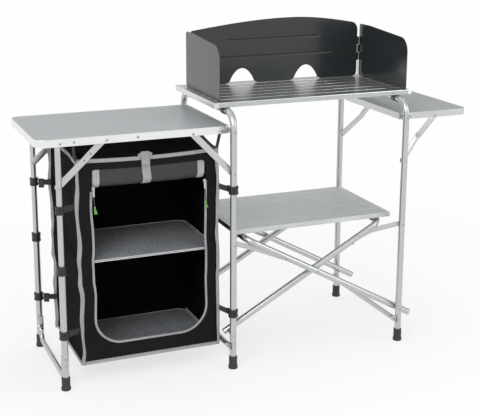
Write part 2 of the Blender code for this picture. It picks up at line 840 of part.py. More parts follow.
aluminium = look("aluminium", (0.66, 0.67, 0.68), 0.32, 1.0)
bar_metal = look("link metal", (0.55, 0.56, 0.57), 0.36, 1.0)
slat_metal = look("slat metal", (0.60, 0.61, 0.63), 0.38, 1.0)
wing_metal = look("wing board", (0.36, 0.38, 0.40), 0.45)
table_metal = look("table board", (0.42, 0.44, 0.46), 0.45)
screen_metal = look("windscreen", (0.14, 0.15, 0.16), 0.40, 0.3)
rubber = look("rubber", (0.03, 0.03, 0.03), 0.70)
plastic = look("black plastic", (0.02, 0.02, 0.02), 0.45)
fabric = look("black cloth", (0.012, 0.012, 0.013), 0.90)
panel_grey = look("shelf panel", (0.08, 0.085, 0.09), 0.80)
webbing = look("grey webbing", (0.30, 0.30, 0.31), 0.85)
cord_green = look("green cord", (0.15, 0.48, 0.06), 0.60)

right_x = stand_span
bar_a = scissor_steps * arm_to_bar
crossing = scissor_steps * arm_to_cross
bar_b_x = right_x - bar_a.x
wing_hinge = (right_x + wing_hinge_x, wing_top - wing_hinge_drop)
wing_rivet = (right_x + wing_rivet_x, wing_top - wing_rivet_drop)
side_pivot_z = table_top - side_pivot_drop
side_leg_rivet_z = side_pivot_z - side_brace_leg_drop

pivot("stand", 0, 0, 0)
pivot("turn_scissor_a", 0, 0, pivot_z, "stand")
pivot("turn_scissor_b", crossing.x, 0, pivot_z + crossing.z, "turn_scissor_a")
pivot("turn_shelf", bar_b_x, 0, shelf_bar_z, "turn_scissor_b")
pivot("turn_right_frame", right_x, 0, pivot_z, "turn_scissor_b")
pivot("turn_left_links", link_left_leg_x, 0, link_leg_z, "stand")
pivot("turn_right_links", right_x, 0, link_leg_z, "turn_right_frame")
pivot("turn_wing", wing_hinge[0], 0, wing_hinge[1], "turn_right_frame")
pivot("turn_wing_lower", right_x, 0, wing_brace_leg_z, "turn_right_frame")
pivot("turn_wing_upper", wing_rivet[0], 0, wing_rivet[1], "turn_wing")
pivot("lift_cook", 0, 0, cook_z, "stand")
pivot("turn_screen_left", pin_left_x, pin_y, screen_foot, "lift_cook")
pivot("turn_screen_right", pin_right_x, pin_y, screen_foot, "lift_cook")
pivot("turn_side_legs", -side_leg_x, 0, side_pivot_z, "stand")
pivot("slide_lower_legs", -side_leg_x, 0, collar_top, "turn_side_legs")
pivot("slide_side_clips", -side_leg_x, 0, side_clip_high, "turn_side_legs")
pivot("turn_side_lower", -side_leg_x, 0, side_leg_rivet_z, "turn_side_legs")
pivot("turn_side_upper", -side_brace_table_x, 0, side_pivot_z, "stand")
pivot("lift_middle_board", 0, 0, middle_panel_top, "stand")
pivot("lift_bottom_board", 0, 0, cup_bottom, "stand")
pivot("lift_door", 0, 0, roll_z, "stand")
pivot("slide_zip_left", -door_left_x, 0, zip_left_top, "lift_door")
pivot("slide_zip_right", -door_right_x, 0, zip_right_top, "lift_door")

# Main stand
place("left_frame_tube", arch_frame(0, -table_hinge_x, table_top - table_hinge_drop, table_half_y, -1),
      aluminium, "stand")
place("right_frame_tube", arch_frame(right_x, *wing_hinge, wing_half_y, 1), aluminium, "turn_right_frame")
for side, x, on in (("left", 0, "stand"), ("right", right_x, "turn_right_frame")):
    place(f"{side}_frame_stretcher", leg_stretcher(x), aluminium, on)
    for end, s in (("front", -1), ("rear", 1)):
        place(f"{side}_{end}_foot", foot(x, s * leg_y, tube_r), rubber, on)

# Scissor base
inner_leg = leg_y - tube_r - touch
place("cross_frame_a", scissor_frame(0, 1, frame_a_y, frame_a_tail,
                                     ((0, inner_leg), (arm_to_cross, frame_b_y - tube_r - touch))),
      aluminium, "turn_scissor_a")
place("cross_frame_b", scissor_frame(right_x, -1, frame_b_y, frame_b_tail, ()),
      aluminium, "turn_scissor_b")
link_rivet_left = Vector((right_x, 0, pivot_z)) + Vector((-scissor_steps.x, 0, scissor_steps.z)) * (arm_to_bar - link_left_below)
link_rivet_left -= Vector((scissor_steps.z, 0, scissor_steps.x)) * link_drop
link_rivet_right = Vector((0, 0, pivot_z)) + scissor_steps * (arm_to_bar - link_right_below)
link_rivet_right -= Vector((-scissor_steps.z, 0, scissor_steps.x)) * link_drop
left_link_outer = frame_b_y - tube_r - touch - run
right_link_outer = frame_a_y - tube_r - touch
for end, s in (("front", -1), ("rear", 1)):
    left_link = flat_bar((link_left_leg_x, link_leg_z), (link_rivet_left.x, link_rivet_left.z), link_half,
                         s * (left_link_outer - link_thick), s * left_link_outer)
    left_peg = peg(link_left_leg_x, link_leg_z, peg_r, s * (left_link_outer - link_thick / 2), s * inner_leg)
    place(f"link_left_{end}", joined(left_link, left_peg), bar_metal, "turn_left_links")
    right_link = flat_bar((right_x, link_leg_z), (link_rivet_right.x, link_rivet_right.z), link_half,
                          s * (right_link_outer - link_thick), s * right_link_outer)
    right_peg = peg(right_x, link_leg_z, peg_r, s * (right_link_outer - link_thick / 2), s * inner_leg)
    place(f"link_right_{end}", joined(right_link, right_peg), bar_metal, "turn_right_links")

# Boards
place("lower_shelf", slatted(bar_b_x - shelf_left_over, bar_a.x + shelf_right_over, shelf_half_y,
                             shelf_bar_z + tube_r * tube_corner + touch, shelf_slats, 0), slat_metal, "turn_shelf")
place("cook_top", cook_top(), slat_metal, "lift_cook")

# Windscreen
place("windscreen_back", screen_back(), screen_metal, "lift_cook")
place("windscreen_left", screen_side(pin_left_x, -1, screen_left_reach, screen_left_height),
      screen_metal, "turn_screen_left")
place("windscreen_right", screen_side(pin_right_x, 1, screen_right_reach, screen_right_height),
      screen_metal, "turn_screen_right")
place("windscreen_pin_left", screen_pin(pin_left_x, screen_left_height), aluminium, "lift_cook")
place("windscreen_pin_right", screen_pin(pin_right_x, screen_right_height), aluminium, "lift_cook")

# Wing
wing_x0, wing_x1 = right_x - wing_inner, right_x - wing_inner + wing_width
place("wing_rim", rim(wing_x0, wing_x1, wing_half_y, wing_top - wing_band, wing_top, wing_inner_round,
                      wing_outer_round), aluminium, "turn_wing")
place("wing_panel", rim_board(wing_x0, wing_x1, wing_half_y, wing_top, wing_board, wing_inner_round,
                              wing_outer_round), wing_metal, "turn_wing")
wing_knee = (right_x + wing_knee_out, wing_brace_leg_z + wing_knee_up)
wing_outer_plane = wing_half_y - band - touch
wing_inner_plane = wing_outer_plane - brace_thick - touch
for end, s in (("front", -1), ("rear", 1)):
    upper = flat_bar(wing_rivet, wing_knee, brace_half, s * (wing_outer_plane - brace_thick),
                     s * wing_outer_plane)
    place(f"wing_upper_brace_{end}", upper, bar_metal, "turn_wing_upper")
    lower = flat_bar((right_x, wing_brace_leg_z), wing_knee, brace_half,
                     s * (wing_inner_plane - brace_thick), s * wing_inner_plane)
    lower_peg = peg(right_x, wing_brace_leg_z, peg_r, s * (wing_inner_plane - brace_thick / 2), s * inner_leg)
    place(f"wing_lower_brace_{end}", joined(lower, lower_peg), bar_metal, "turn_wing_lower")

# Side table
place("side_table_rim", rim(-table_length, 0, table_half_y, table_top - table_band, table_top,
                            table_outer_round, table_inner_round), aluminium, "stand")
place("side_table_panel", rim_board(-table_length, 0, table_half_y, table_top, table_board,
                                    table_outer_round, table_inner_round), table_metal, "stand")
table_plane = table_half_y - band - touch
knee_outer_plane = side_leg_y - tube_r - touch
knee_inner_plane = knee_outer_plane - brace_thick - touch
side_knee = (-side_brace_knee_x, side_pivot_z - side_brace_knee_drop)
for end, s in (("front", -1), ("rear", 1)):
    stand_brace = flat_bar((-stand_brace_x, table_top - stand_brace_drop), (0, stand_brace_leg_z), brace_half,
                           s * (table_plane - brace_thick), s * table_plane)
    stand_peg = peg(0, stand_brace_leg_z, peg_r, s * (table_plane - brace_thick / 2), s * inner_leg)
    place(f"stand_brace_{end}", joined(stand_brace, stand_peg), bar_metal, "stand")
    lower = flat_bar((-side_leg_x, side_leg_rivet_z), side_knee, brace_half,
                     s * (knee_outer_plane - brace_thick), s * knee_outer_plane)
    place(f"side_lower_brace_{end}", lower, bar_metal, "turn_side_lower")
    upper = flat_bar((-side_brace_table_x, side_pivot_z), side_knee, brace_half,
                     s * (knee_inner_plane - brace_thick), s * knee_inner_plane)
    upper_peg = peg(-side_brace_table_x, side_pivot_z, peg_r, s * (knee_inner_plane - brace_thick / 2),
                    s * table_plane)
    place(f"side_upper_brace_{end}", joined(upper, upper_peg), bar_metal, "turn_side_upper")

# Side legs
for end, s in (("front", -1), ("rear", 1)):
    place(f"upper_leg_{end}", side_leg(s), aluminium, "turn_side_legs")
    place(f"leg_collar_{end}", side_collar(s), plastic, "slide_lower_legs")
    lower_leg = round_tube([Vector((-side_leg_x, s * side_leg_y, foot_sole + touch)),
                            Vector((-side_leg_x, s * side_leg_y, lower_top))], Vector((1, 0, 0)), tube_r)
    place(f"lower_leg_{end}", lower_leg, aluminium, "slide_lower_legs")
    place(f"side_{end}_foot", foot(-side_leg_x, s * side_leg_y, tube_r), rubber, "slide_lower_legs")
place("side_leg_stretcher", side_stretcher(), aluminium, "slide_lower_legs")

# Soft cupboard
place("cupboard_shell", cupboard(), fabric, "stand")
place("cupboard_middle_board", shelf_board(middle_panel_top), panel_grey, "lift_middle_board")
place("cupboard_bottom_board", shelf_board(cup_bottom + cloth + touch + shelf_panel), panel_grey,
      "lift_bottom_board")
place("rolled_door", rolled_door(), fabric, "lift_door")
place("door_tie", door_tie(), webbing, "lift_door")
place("zip_slider_left", zip_slider(-door_left_x - zip_out, zip_left_top, zip_left_tab_top,
                                    zip_left_tab_bottom), cord_green, "slide_zip_left")
place("zip_slider_right", zip_slider(-door_right_x + zip_out, zip_right_top, zip_right_tab_top,
                                     zip_right_tab_bottom), cord_green, "slide_zip_right")
for end, s in (("front", -1), ("rear", 1)):
    place(f"side_clip_upper_{end}", leg_clip(-side_leg_x, s * side_leg_y, side_clip_high, upper_r, s),
          plastic, "slide_side_clips")
    place(f"side_clip_lower_{end}", leg_clip(-side_leg_x, s * side_leg_y, side_clip_low, tube_r, s),
          plastic, "slide_lower_legs")
    place(f"stand_clip_upper_{end}", leg_clip(0, s * leg_y, stand_clip_high, tube_r, s), plastic, "stand")
    place(f"stand_clip_lower_{end}", leg_clip(0, s * leg_y, stand_clip_low, tube_r, s), plastic, "stand")
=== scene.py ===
import math

import bmesh
import bpy
from mathutils import Matrix, Vector, noise


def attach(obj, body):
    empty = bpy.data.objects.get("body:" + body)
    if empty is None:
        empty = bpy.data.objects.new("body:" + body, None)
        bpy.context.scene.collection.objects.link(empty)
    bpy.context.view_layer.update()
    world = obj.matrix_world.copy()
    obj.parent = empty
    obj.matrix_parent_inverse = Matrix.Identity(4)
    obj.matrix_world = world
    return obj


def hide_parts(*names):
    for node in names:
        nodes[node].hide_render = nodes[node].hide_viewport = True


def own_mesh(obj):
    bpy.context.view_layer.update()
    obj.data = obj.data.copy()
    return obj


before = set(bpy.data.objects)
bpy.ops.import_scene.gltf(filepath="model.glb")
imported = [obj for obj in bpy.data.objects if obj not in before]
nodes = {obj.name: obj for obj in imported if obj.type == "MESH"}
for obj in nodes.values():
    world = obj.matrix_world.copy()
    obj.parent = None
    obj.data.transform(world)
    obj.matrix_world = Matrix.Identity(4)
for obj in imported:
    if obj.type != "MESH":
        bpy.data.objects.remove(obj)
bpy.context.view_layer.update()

standLeft = -0.124                 # the stand's left legs along X; lengths below are measured from them
touch = 0.0003                     # gap between pieces that meet
print("frame loaded,", len(nodes), "nodes")


def at(x, y, z):
    return Vector((x + standLeft, y, z))


# Selecting, as by hand

def only(*pieces):
    if bpy.context.object and bpy.context.object.mode == "EDIT":
        bpy.ops.object.mode_set(mode="OBJECT")
    bpy.ops.object.select_all(action="DESELECT")
    for piece in pieces:
        piece.select_set(True)
    if pieces:
        bpy.context.view_layer.objects.active = pieces[0]


def edit(piece, kind="FACE"):
    only(piece)
    bpy.ops.object.mode_set(mode="EDIT")
    bpy.ops.mesh.select_mode(type=kind)
    bpy.ops.mesh.select_all(action="DESELECT")
    return bmesh.from_edit_mesh(piece.data)


def choose(piece, kind, test):
    mesh = edit(piece, kind)
    for part in {"VERT": mesh.verts, "EDGE": mesh.edges, "FACE": mesh.faces}[kind]:
        if test(part):
            part.select_set(True)
    bmesh.update_edit_mesh(piece.data)


def extrude(move):
    bpy.ops.mesh.extrude_region_move(TRANSFORM_OT_translate={"value": move})


def settle(piece):
    only(piece)
    bpy.ops.object.transform_apply(location=True, rotation=True, scale=True)
    return piece


def modify(piece, kind, **settings):
    only(piece)
    modifier = piece.modifiers.new(kind, kind)
    for name, value in settings.items():
        setattr(modifier, name, value)
    bpy.ops.object.modifier_apply(modifier=modifier.name)
    return piece


def together(first, *others):
    if others:
        only(first, *others)
        bpy.ops.object.join()
    return first


def copied(piece, move):
    copy = piece.copy()
    copy.data = piece.data.copy()
    bpy.context.scene.collection.objects.link(copy)
    copy.data.transform(move)
    return copy


def outward(piece, angle=35):
    edit(piece)
    bpy.ops.mesh.select_all(action="SELECT")
    bpy.ops.mesh.normals_make_consistent(inside=False)
    bpy.ops.object.mode_set(mode="OBJECT")
    only(piece)
    bpy.ops.object.shade_smooth_by_angle(angle=math.radians(angle))
    return piece


def painted(finish, pieces):
    for piece in pieces:
        piece.data.materials.append(finish)


def finished(piece, name, finish, body, slot, *stoodFor, soft=False):
    piece.name = piece.data.name = name
    if not piece.data.materials:
        piece.data.materials.append(finish)
    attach(piece, body)
    if soft:
        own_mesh(piece)
    if stoodFor:
        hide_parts(*stoodFor)
    return piece


# Shapes that repeat

def circleAt(where, facing, radius, sides, fill="NOTHING"):
    only()
    bpy.ops.mesh.primitive_circle_add(vertices=sides, radius=radius, fill_type=fill, location=where,
                                      rotation=Vector(facing).to_track_quat("Z", "Y").to_euler())
    return settle(bpy.context.object)


def bendTube(corners, radius, bend=0, wall=0.0012, sides=28, steps=10):
    # a ring of points is drawn out along the straights and spun round each bend
    points = [Vector(corner) for corner in corners]
    tube = circleAt(points[0], points[1] - points[0], radius, sides)
    edit(tube, "VERT")
    bpy.ops.mesh.select_all(action="SELECT")
    here = points[0]
    for before, corner, after in zip(points, points[1:], points[2:]):
        back, on = (before - corner).normalized(), (after - corner).normalized()
        turn = math.pi - back.angle(on)
        if turn < 0.01:
            extrude(corner - here)
            here = corner
            continue
        reach = bend * math.tan(turn / 2)
        extrude(corner + back * reach - here)
        centre = corner + (back + on).normalized() * (bend / math.cos(turn / 2))
        bpy.ops.mesh.spin(steps=steps, angle=turn, center=centre, axis=back.cross(on).normalized())
        here = corner + on * reach
    extrude(points[-1] - here)
    bpy.ops.mesh.select_all(action="SELECT")
    bpy.ops.mesh.fill_holes(sides=0)
    bpy.ops.mesh.normals_make_consistent(inside=False)
    for end, inwards in ((points[0], points[1] - points[0]), (points[-1], points[-2] - points[-1])):
        choose(tube, "FACE", lambda face: len(face.verts) == sides
               and (face.calc_center_median() - end).length < radius / 2)
        bpy.ops.mesh.inset(thickness=wall)
        extrude(inwards.normalized() * radius * 1.2)
    return outward(tube)


def pressFlat(tube, tip, ahead, flat, press, normal, radius, half, spread):
    # squeezes a tube's end between two dies
    ahead, normal = Vector(ahead).normalized(), Vector(normal).normalized()
    across = ahead.cross(normal)
    for vertex in tube.data.vertices:
        offset = vertex.co - tip
        share = min(max((flat + press + offset.dot(ahead)) / press, 0),
                    1) if offset.dot(ahead) > -flat - press else 0
        share = share * share * (3 - 2 * share)
        if share and offset.length < flat + press + 2 * radius:
            vertex.co += normal * offset.dot(normal) * share * (half / radius - 1)
            vertex.co += across * offset.dot(across) * share * (spread / radius - 1)


def domed(profile, sides=20):
    # a disc drawn up through rings of (radius, height) along +Z
    made = circleAt((0, 0, profile[0][1]), (0, 0, 1), profile[0][0], sides, "NGON")
    edit(made)
    bpy.ops.mesh.select_all(action="SELECT")
    for (radius, height), (wider, higher) in zip(profile, profile[1:]):
        extrude((0, 0, higher - height))
        mesh = bmesh.from_edit_mesh(made.data)
        for vertex in mesh.verts:
            if vertex.select:
                vertex.co.x *= wider / radius
                vertex.co.y *= wider / radius
        bmesh.update_edit_mesh(made.data)
    return outward(made)


rivetHead = {"radius": 0.0042, "height": 0.0016, "hole": 0.0013}
r, h, hole = rivetHead["radius"], rivetHead["height"], rivetHead["hole"]
rivetMaster = domed([(r, -0.0006), (r, h * 0.3), (r * 0.86, h * 0.72), (r * 0.6, h), (hole * 1.15, h),
                     (hole, h * 0.85),
                     (hole * 0.9, 0.0002)])


def rivet(where, facing, size=1.0):
    turn = Vector(facing).to_track_quat("Z", "Y").to_matrix().to_4x4()
    return copied(rivetMaster, Matrix.Translation(where) @ turn @ Matrix.Scale(size, 4))


def pin(start, end, radius, sides=20):
    start, end = Vector(start), Vector(end)
    made = circleAt(start, end - start, radius, sides, "NGON")
    edit(made)
    bpy.ops.mesh.select_all(action="SELECT")
    extrude(end - start)
    return outward(made)


def flatBar(start, end, half, thick, yOuter, side):
    # a capsule drawn from a disc, given its thickness towards the middle of the stand, with eased edges
    a, b = at(start[0], yOuter, start[1]), at(end[0], yOuter, end[1])
    bar = circleAt(a, (0, side, 0), half, 32, "NGON")
    choose(bar, "VERT", lambda vertex: (vertex.co - a).dot(b - a) > 1e-7)
    bpy.ops.transform.translate(value=b - a)
    bpy.ops.mesh.select_all(action="SELECT")
    extrude((0, -side * thick, 0))
    choose(bar, "EDGE", lambda edge: abs(edge.verts[0].co.y - edge.verts[1].co.y) < thick / 2)
    bpy.ops.mesh.bevel(offset=thick * 0.22, segments=2, affect="EDGES")
    return outward(bar)


def joggled(bar, start, end, shift, first, last):
    # the bar's start end is set over by shift along Y, as a press bends it
    a, b = at(start[0], 0, start[1]), at(end[0], 0, end[1])
    ahead = (b - a).normalized()
    for i in range(11):
        edit(bar)
        bpy.ops.mesh.select_all(action="SELECT")
        bpy.ops.mesh.bisect(plane_co=a + ahead * (first + (last - first) * i / 10), plane_no=ahead)
    bpy.ops.object.mode_set(mode="OBJECT")
    for vertex in bar.data.vertices:
        share = min(max((last - (vertex.co - a).dot(ahead)) / (last - first), 0), 1)
        vertex.co.y += shift * share
    return outward(bar)


def plate(corners, radii, thick, ease=0.0003):
    # an outline with rounded corners, drawn out by the vector thick; corners are points in space
    corners = [Vector(corner) for corner in corners]
    made = circleAt((0, 0, 0), (0, 0, 1), 1, len(corners), "NGON")
    for vertex, corner in zip(made.data.vertices, corners):
        vertex.co = corner
    for i, (corner, radius) in enumerate(zip(corners, radii)):
        if radius:
            back, on = corners[i - 1] - corner, corners[(i + 1) % len(corners)] - corner
            choose(made, "VERT", lambda vertex: (vertex.co - corner).length < 1e-6)
            bpy.ops.mesh.bevel(offset=radius / math.tan(back.angle(on) / 2), segments=8, affect="VERTICES")
    edit(made)
    bpy.ops.mesh.select_all(action="SELECT")
    thick = Vector(thick)
    if thick.length:
        extrude(thick)
        outward(made)
        if ease:
            choose(made, "EDGE", lambda edge: abs((edge.verts[0].co - edge.verts[1].co).dot(thick)) < 1e-9)
            bpy.ops.mesh.bevel(offset=ease, segments=2, affect="EDGES")
    return outward(made)


def shapedGrid(acrossSteps, alongSteps, place, size, wrap=False):
    # a grid whose every point goes to place(u, v); its UV map is in metres
    only()
    bpy.ops.mesh.primitive_grid_add(x_subdivisions=acrossSteps, y_subdivisions=alongSteps, size=2)
    grid = bpy.context.object
    coordinates = grid.data.uv_layers.active.data
    for loop in grid.data.loops:
        flat = grid.data.vertices[loop.vertex_index].co
        coordinates[loop.index].uv = ((flat.x + 1) / 2 * size[0], (flat.y + 1) / 2 * size[1])
    for vertex in grid.data.vertices:
        vertex.co = place((vertex.co.x + 1) / 2, (vertex.co.y + 1) / 2)
    if wrap:
        edit(grid, "VERT")
        bpy.ops.mesh.select_all(action="SELECT")
        bpy.ops.mesh.remove_doubles(threshold=1e-5)
    only(grid)
    bpy.ops.object.shade_smooth()
    return grid


def pathLength(path):
    return sum((b - a).length for a, b in zip(path, path[1:]))


def evenly(path, count):
    # the same path with its points spaced evenly
    lengths = [0]
    for a, b in zip(path, path[1:]):
        lengths.append(lengths[-1] + (b - a).length)
    out, i = [], 0
    for k in range(count + 1):
        wanted = lengths[-1] * k / count
        while i < len(path) - 2 and lengths[i + 1] < wanted:
            i += 1
        step = lengths[i + 1] - lengths[i]
        out.append(path[i].lerp(path[i + 1], (wanted - lengths[i]) / step if step else 0))
    return out


def softened(path, rounds=2):
    # a path of points with its corners eased
    for _ in range(rounds):
        eased = [path[0]]
        for a, b in zip(path, path[1:]):
            eased += [a.lerp(b, 0.25), a.lerp(b, 0.75)]
        path = eased + [path[-1]]
    return path


def ribbon(path, wide, width, thick, steps=60, acrossSteps=6, crown=0.0, wrap=False):
    # a tape along a path; wide(share) is the direction of its width, crown how far its middle stands out
    path = evenly([Vector(p) for p in path], steps)
    length = pathLength(path)

    def place(u, v):
        k = u * steps
        i = min(int(round(k)), steps)
        ahead = path[min(i + 1, steps)] - path[max(i - 1, 0)]
        if wrap and i in (0, steps):
            ahead = path[1] - path[-2]
        sideways = Vector(wide(i / steps)).normalized()
        proud = sideways.cross(ahead).normalized()
        broad = width(i / steps) if callable(width) else width
        return path[i] + sideways * (v - 0.5) * broad + proud * crown * (1 - (2 * v - 1) ** 2)

    tape = shapedGrid(steps, acrossSteps, place, (length, width(0.5) if callable(width) else width), wrap)
    modify(tape, "SOLIDIFY", thickness=thick, offset=0)
    return outward(tape, 50)


# Finishes

class Signal:
    # one socket's value, so that shader maths reads as a sum
    def __init__(self, finish, socket):
        self.finish, self.socket = finish, socket

    def maths(self, operation, first, second):
        made = self.finish.node("ShaderNodeMath", {"operation": operation}, {0: first, 1: second})
        return Signal(self.finish, made.outputs[0])

    def __add__(self, other):
        return self.maths("ADD", self, other)

    def __radd__(self, other):
        return self.maths("ADD", other, self)

    def __sub__(self, other):
        return self.maths("SUBTRACT", self, other)

    def __rsub__(self, other):
        return self.maths("SUBTRACT", other, self)

    def __mul__(self, other):
        return self.maths("MULTIPLY", self, other)

    def __rmul__(self, other):
        return self.maths("MULTIPLY", other, self)


class Finish:
    # one material, and the nodes that make it
    def __init__(self, name, tree=None):
        if tree is None:
            self.material = bpy.data.materials.new(name)
            self.material.use_nodes = True
            tree = self.material.node_tree
        self.tree = tree
        self.tree.nodes.clear()

    def node(self, kind, settings=None, inputs=None):
        made = self.tree.nodes.new(kind)
        for name, value in (settings or {}).items():
            if name == "stops":
                ramp = made.color_ramp
                while len(ramp.elements) < len(value):
                    ramp.elements.new(0.5)
                for element, (position, colour) in zip(ramp.elements, value):
                    element.position, element.color = position, (*colour, 1)
            else:
                setattr(made, name, value)
        for name, value in (inputs or {}).items():
            socket = made.inputs[name]
            value = value.socket if isinstance(value, Signal) else value
            if isinstance(value, bpy.types.NodeSocket):
                self.tree.links.new(value, socket)
            else:
                socket.default_value = value
        return made

    def coordinates(self, stretch, turn=(0, 0, 0), kind="Object"):
        source = self.node("ShaderNodeTexCoord").outputs[kind]
        return self.node("ShaderNodeMapping", None,
                         {"Vector": source, "Scale": stretch, "Rotation": turn}).outputs[0]

    def speckle(self, stretch, detail=3, turn=(0, 0, 0), kind="Object", rough=0.5):
        # noise about zero, from about -0.5 to 0.5
        made = self.node("ShaderNodeTexNoise", None,
                         {"Vector": self.coordinates(stretch, turn, kind), "Scale": 1.0,
                                                      "Detail": detail, "Roughness": rough})
        return Signal(self, made.outputs[0]) - 0.5

    def stripes(self, stretch, kind="UV", direction="X", profile="SIN", distortion=0.0):
        made = self.node("ShaderNodeTexWave", {"bands_direction": direction, "wave_profile": profile},
                         {"Vector": self.coordinates(stretch, kind=kind), "Scale": 1.0,
                          "Distortion": distortion})
        return Signal(self, made.outputs["Fac"])

    def between(self, factor, low, high):
        made = self.node("ShaderNodeMix", {"data_type": "RGBA"}, {0: factor, 6: (*low, 1), 7: (*high, 1)})
        return made.outputs[2]

    def bump(self, height, depth, strength=1.0):
        return self.node("ShaderNodeBump", None,
                         {"Height": height, "Distance": depth, "Strength": strength}).outputs[0]

    def shade(self, colour, rough, normal=None, **fixed):
        inputs = {"Base Color": colour if isinstance(colour, bpy.types.NodeSocket) else (*colour, 1),
                  "Roughness": rough}
        inputs.update({name.replace("_", " "): value for name, value in fixed.items()})
        if normal is not None:
            inputs["Normal"] = normal
        shader = self.node("ShaderNodeBsdfPrincipled", None, inputs)
        output = self.node("ShaderNodeOutputMaterial")
        self.tree.links.new(shader.outputs[0], output.inputs[0])
        return self.material


def tubeMetal(name, low, high, rough, metal=1.0, grain=(900, 900, 900)):
    finish = Finish(name)
    cloud = finish.speckle((9, 9, 9), 4)
    fine = finish.speckle(grain, 2)
    colour = finish.between(cloud + fine * 0.35 + 0.5, low, high)
    return finish.shade(colour, cloud * 0.10 + fine * 0.10 + rough, finish.bump(fine + cloud * 0.2, 0.00006),
                        Metallic=metal)


def streakedMetal(name, low, high, rough, stretch, metal=1.0, depth=0.00008, spots=0.0):
    finish = Finish(name)
    streak = finish.speckle(stretch, 4, rough=0.6)
    cloud = finish.speckle((14, 14, 14), 4)
    mottle = finish.speckle((420, 420, 420), 2)
    colour = finish.between(streak * 0.9 + cloud * 0.5 + mottle * spots + 0.5, low, high)
    return finish.shade(colour, streak * 0.16 + cloud * 0.08 + rough,
                        finish.bump(streak + mottle * spots, depth),
                        Metallic=metal)


def mouldedPlastic(name, low, high, rough, grain=1400):
    finish = Finish(name)
    fine = finish.speckle((grain, grain, grain), 3)
    cloud = finish.speckle((40, 40, 40), 3)
    return finish.shade(finish.between(cloud + 0.5, low, high), cloud * 0.18 + rough,
                        finish.bump(fine, 0.00010), Specular_IOR_Level=0.5)


def wovenCloth(name, low, high, rough, thread=0.0007, depth=0.00012, sheen=0.0, crumple=0.0, gloss=0.14):
    # threads that cross, on the piece's own UV map in metres
    finish = Finish(name)
    pitch = 1 / thread
    warp = finish.stripes((pitch / 6.2832 * 2, 0.001, 1), direction="X")
    weft = finish.stripes((0.001, pitch / 6.2832 * 2, 1), direction="Y")
    cloud = finish.speckle((22, 22, 22), 4, kind="Object")
    fibre = finish.speckle((2600, 2600, 2600), 2)
    weave = warp * weft
    colour = finish.between(cloud * 0.8 + weave * 0.45 + fibre * 0.3 + 0.3, low, high)
    creases = finish.speckle((34, 34, 14), 3)
    height = weave + creases * crumple
    return finish.shade(colour, cloud * 0.12 + rough, finish.bump(height, depth), Sheen_Weight=sheen,
                        Sheen_Roughness=0.5, Specular_IOR_Level=gloss)


def ribbedTape(name, low, high, ribs=0.0016, depth=0.00025, teeth=False):
    # webbing or binding with ribs across its length; teeth makes it a zip's chain
    finish = Finish(name)
    rib = finish.stripes((1 / ribs / 6.2832 * 2, 0.001, 1), direction="X")
    edge = finish.stripes((0.001, 1 / 0.0022 / 6.2832 * 2, 1), direction="Y")
    cloud = finish.speckle((30, 30, 30), 4)
    mixed = rib * (0.55 if teeth else 0.30) + edge * 0.2 + cloud * 0.7 + 0.25
    return finish.shade(finish.between(mixed, low, high), cloud * 0.1 + 0.72,
                        finish.bump(rib + edge * 0.5, depth),
                        Sheen_Weight=0.15)


def mottledBoard(name, low, high, rough):
    # a hard board faced with a fine mottled cloth
    finish = Finish(name)
    spots = finish.node("ShaderNodeTexVoronoi", {"feature": "F1"},
                        {"Vector": finish.coordinates((330, 330, 330)), "Scale": 1.0})
    spot = Signal(finish, spots.outputs["Distance"])
    cloud = finish.speckle((12, 12, 12), 4)
    grain = finish.speckle((700, 700, 700), 3)
    colour = finish.between(spot * 1.1 + grain * 1.3 + cloud * 0.3 - 0.05, low, high)
    return finish.shade(colour, rough, finish.bump(grain + spot * 0.5, 0.00035), Sheen_Weight=0.1,
                        Specular_IOR_Level=0.3)


def tableFace(name, low, high, rough):
    # painted sheet with a very fine orange-peel and a soft gloss
    finish = Finish(name)
    peel = finish.speckle((900, 900, 900), 2)
    cloud = finish.speckle((7, 7, 7), 5)
    dust = finish.speckle((260, 260, 260), 3)
    colour = finish.between(cloud * 0.7 + dust * 0.25 + 0.5, low, high)
    return finish.shade(colour, cloud * 0.1 + dust * 0.08 + rough, finish.bump(peel, 0.00004), Metallic=0.25,
                        Specular_IOR_Level=0.5)


def screenPaint(name, low, high, rough, coat):
    finish = Finish(name)
    peel = finish.speckle((1200, 1200, 1200), 2)
    cloud = finish.speckle((10, 10, 10), 5)
    wear = finish.speckle((60, 60, 500), 4, rough=0.65)
    colour = finish.between(cloud * 0.6 + wear * 0.4 + 0.5, low, high)
    return finish.shade(colour, cloud * 0.08 + wear * 0.05 + rough, finish.bump(peel + wear * 0.3, 0.00004),
                        Specular_IOR_Level=0.42, Coat_Weight=coat, Coat_Roughness=0.12)


tubeSilver = tubeMetal("satin tube", (0.475, 0.49, 0.488), (0.60, 0.615, 0.612), 0.30)
# the rivets are the tubes' aluminium; this darker copy is painted shade round their small domes, and the pins
# take the same metal
rivetSilverShaded = tubeMetal("rivets", (0.26, 0.265, 0.27), (0.48, 0.49, 0.50), 0.34)
barSilver = streakedMetal("flat bars", (0.50, 0.515, 0.515), (0.63, 0.645, 0.645), 0.36, (160, 160, 160),
                          spots=0.3)
bandSilver = streakedMetal("edge bands", (0.72, 0.73, 0.735), (0.93, 0.935, 0.94), 0.28, (26, 26, 900))
# the wing's rim is the same band as the table's; this darker, greyer copy is painted shade
wingBandShaded = streakedMetal("wing edge band", (0.50, 0.515, 0.515), (0.66, 0.675, 0.675), 0.32, (26, 26, 900))
slatSilver = streakedMetal("slats", (0.40, 0.42, 0.43), (0.60, 0.62, 0.63), 0.26, (22, 620, 620), metal=0.85,
                           spots=0.6)
shelfSilver = streakedMetal("shelf slats", (0.46, 0.485, 0.49), (0.72, 0.745, 0.75), 0.40, (16, 420, 420),
                            metal=0.6, spots=1.1)
# a brighter, glossier copy of the slat metal: painted highlight on the slats' bevelled edges
slatEdgeHighlight = streakedMetal("slat edges", (0.86, 0.87, 0.88), (0.98, 0.98, 0.98), 0.20, (40, 900, 900))
channelSilver = streakedMetal("end channels", (0.60, 0.61, 0.62), (0.80, 0.81, 0.82), 0.32, (620, 20, 620))
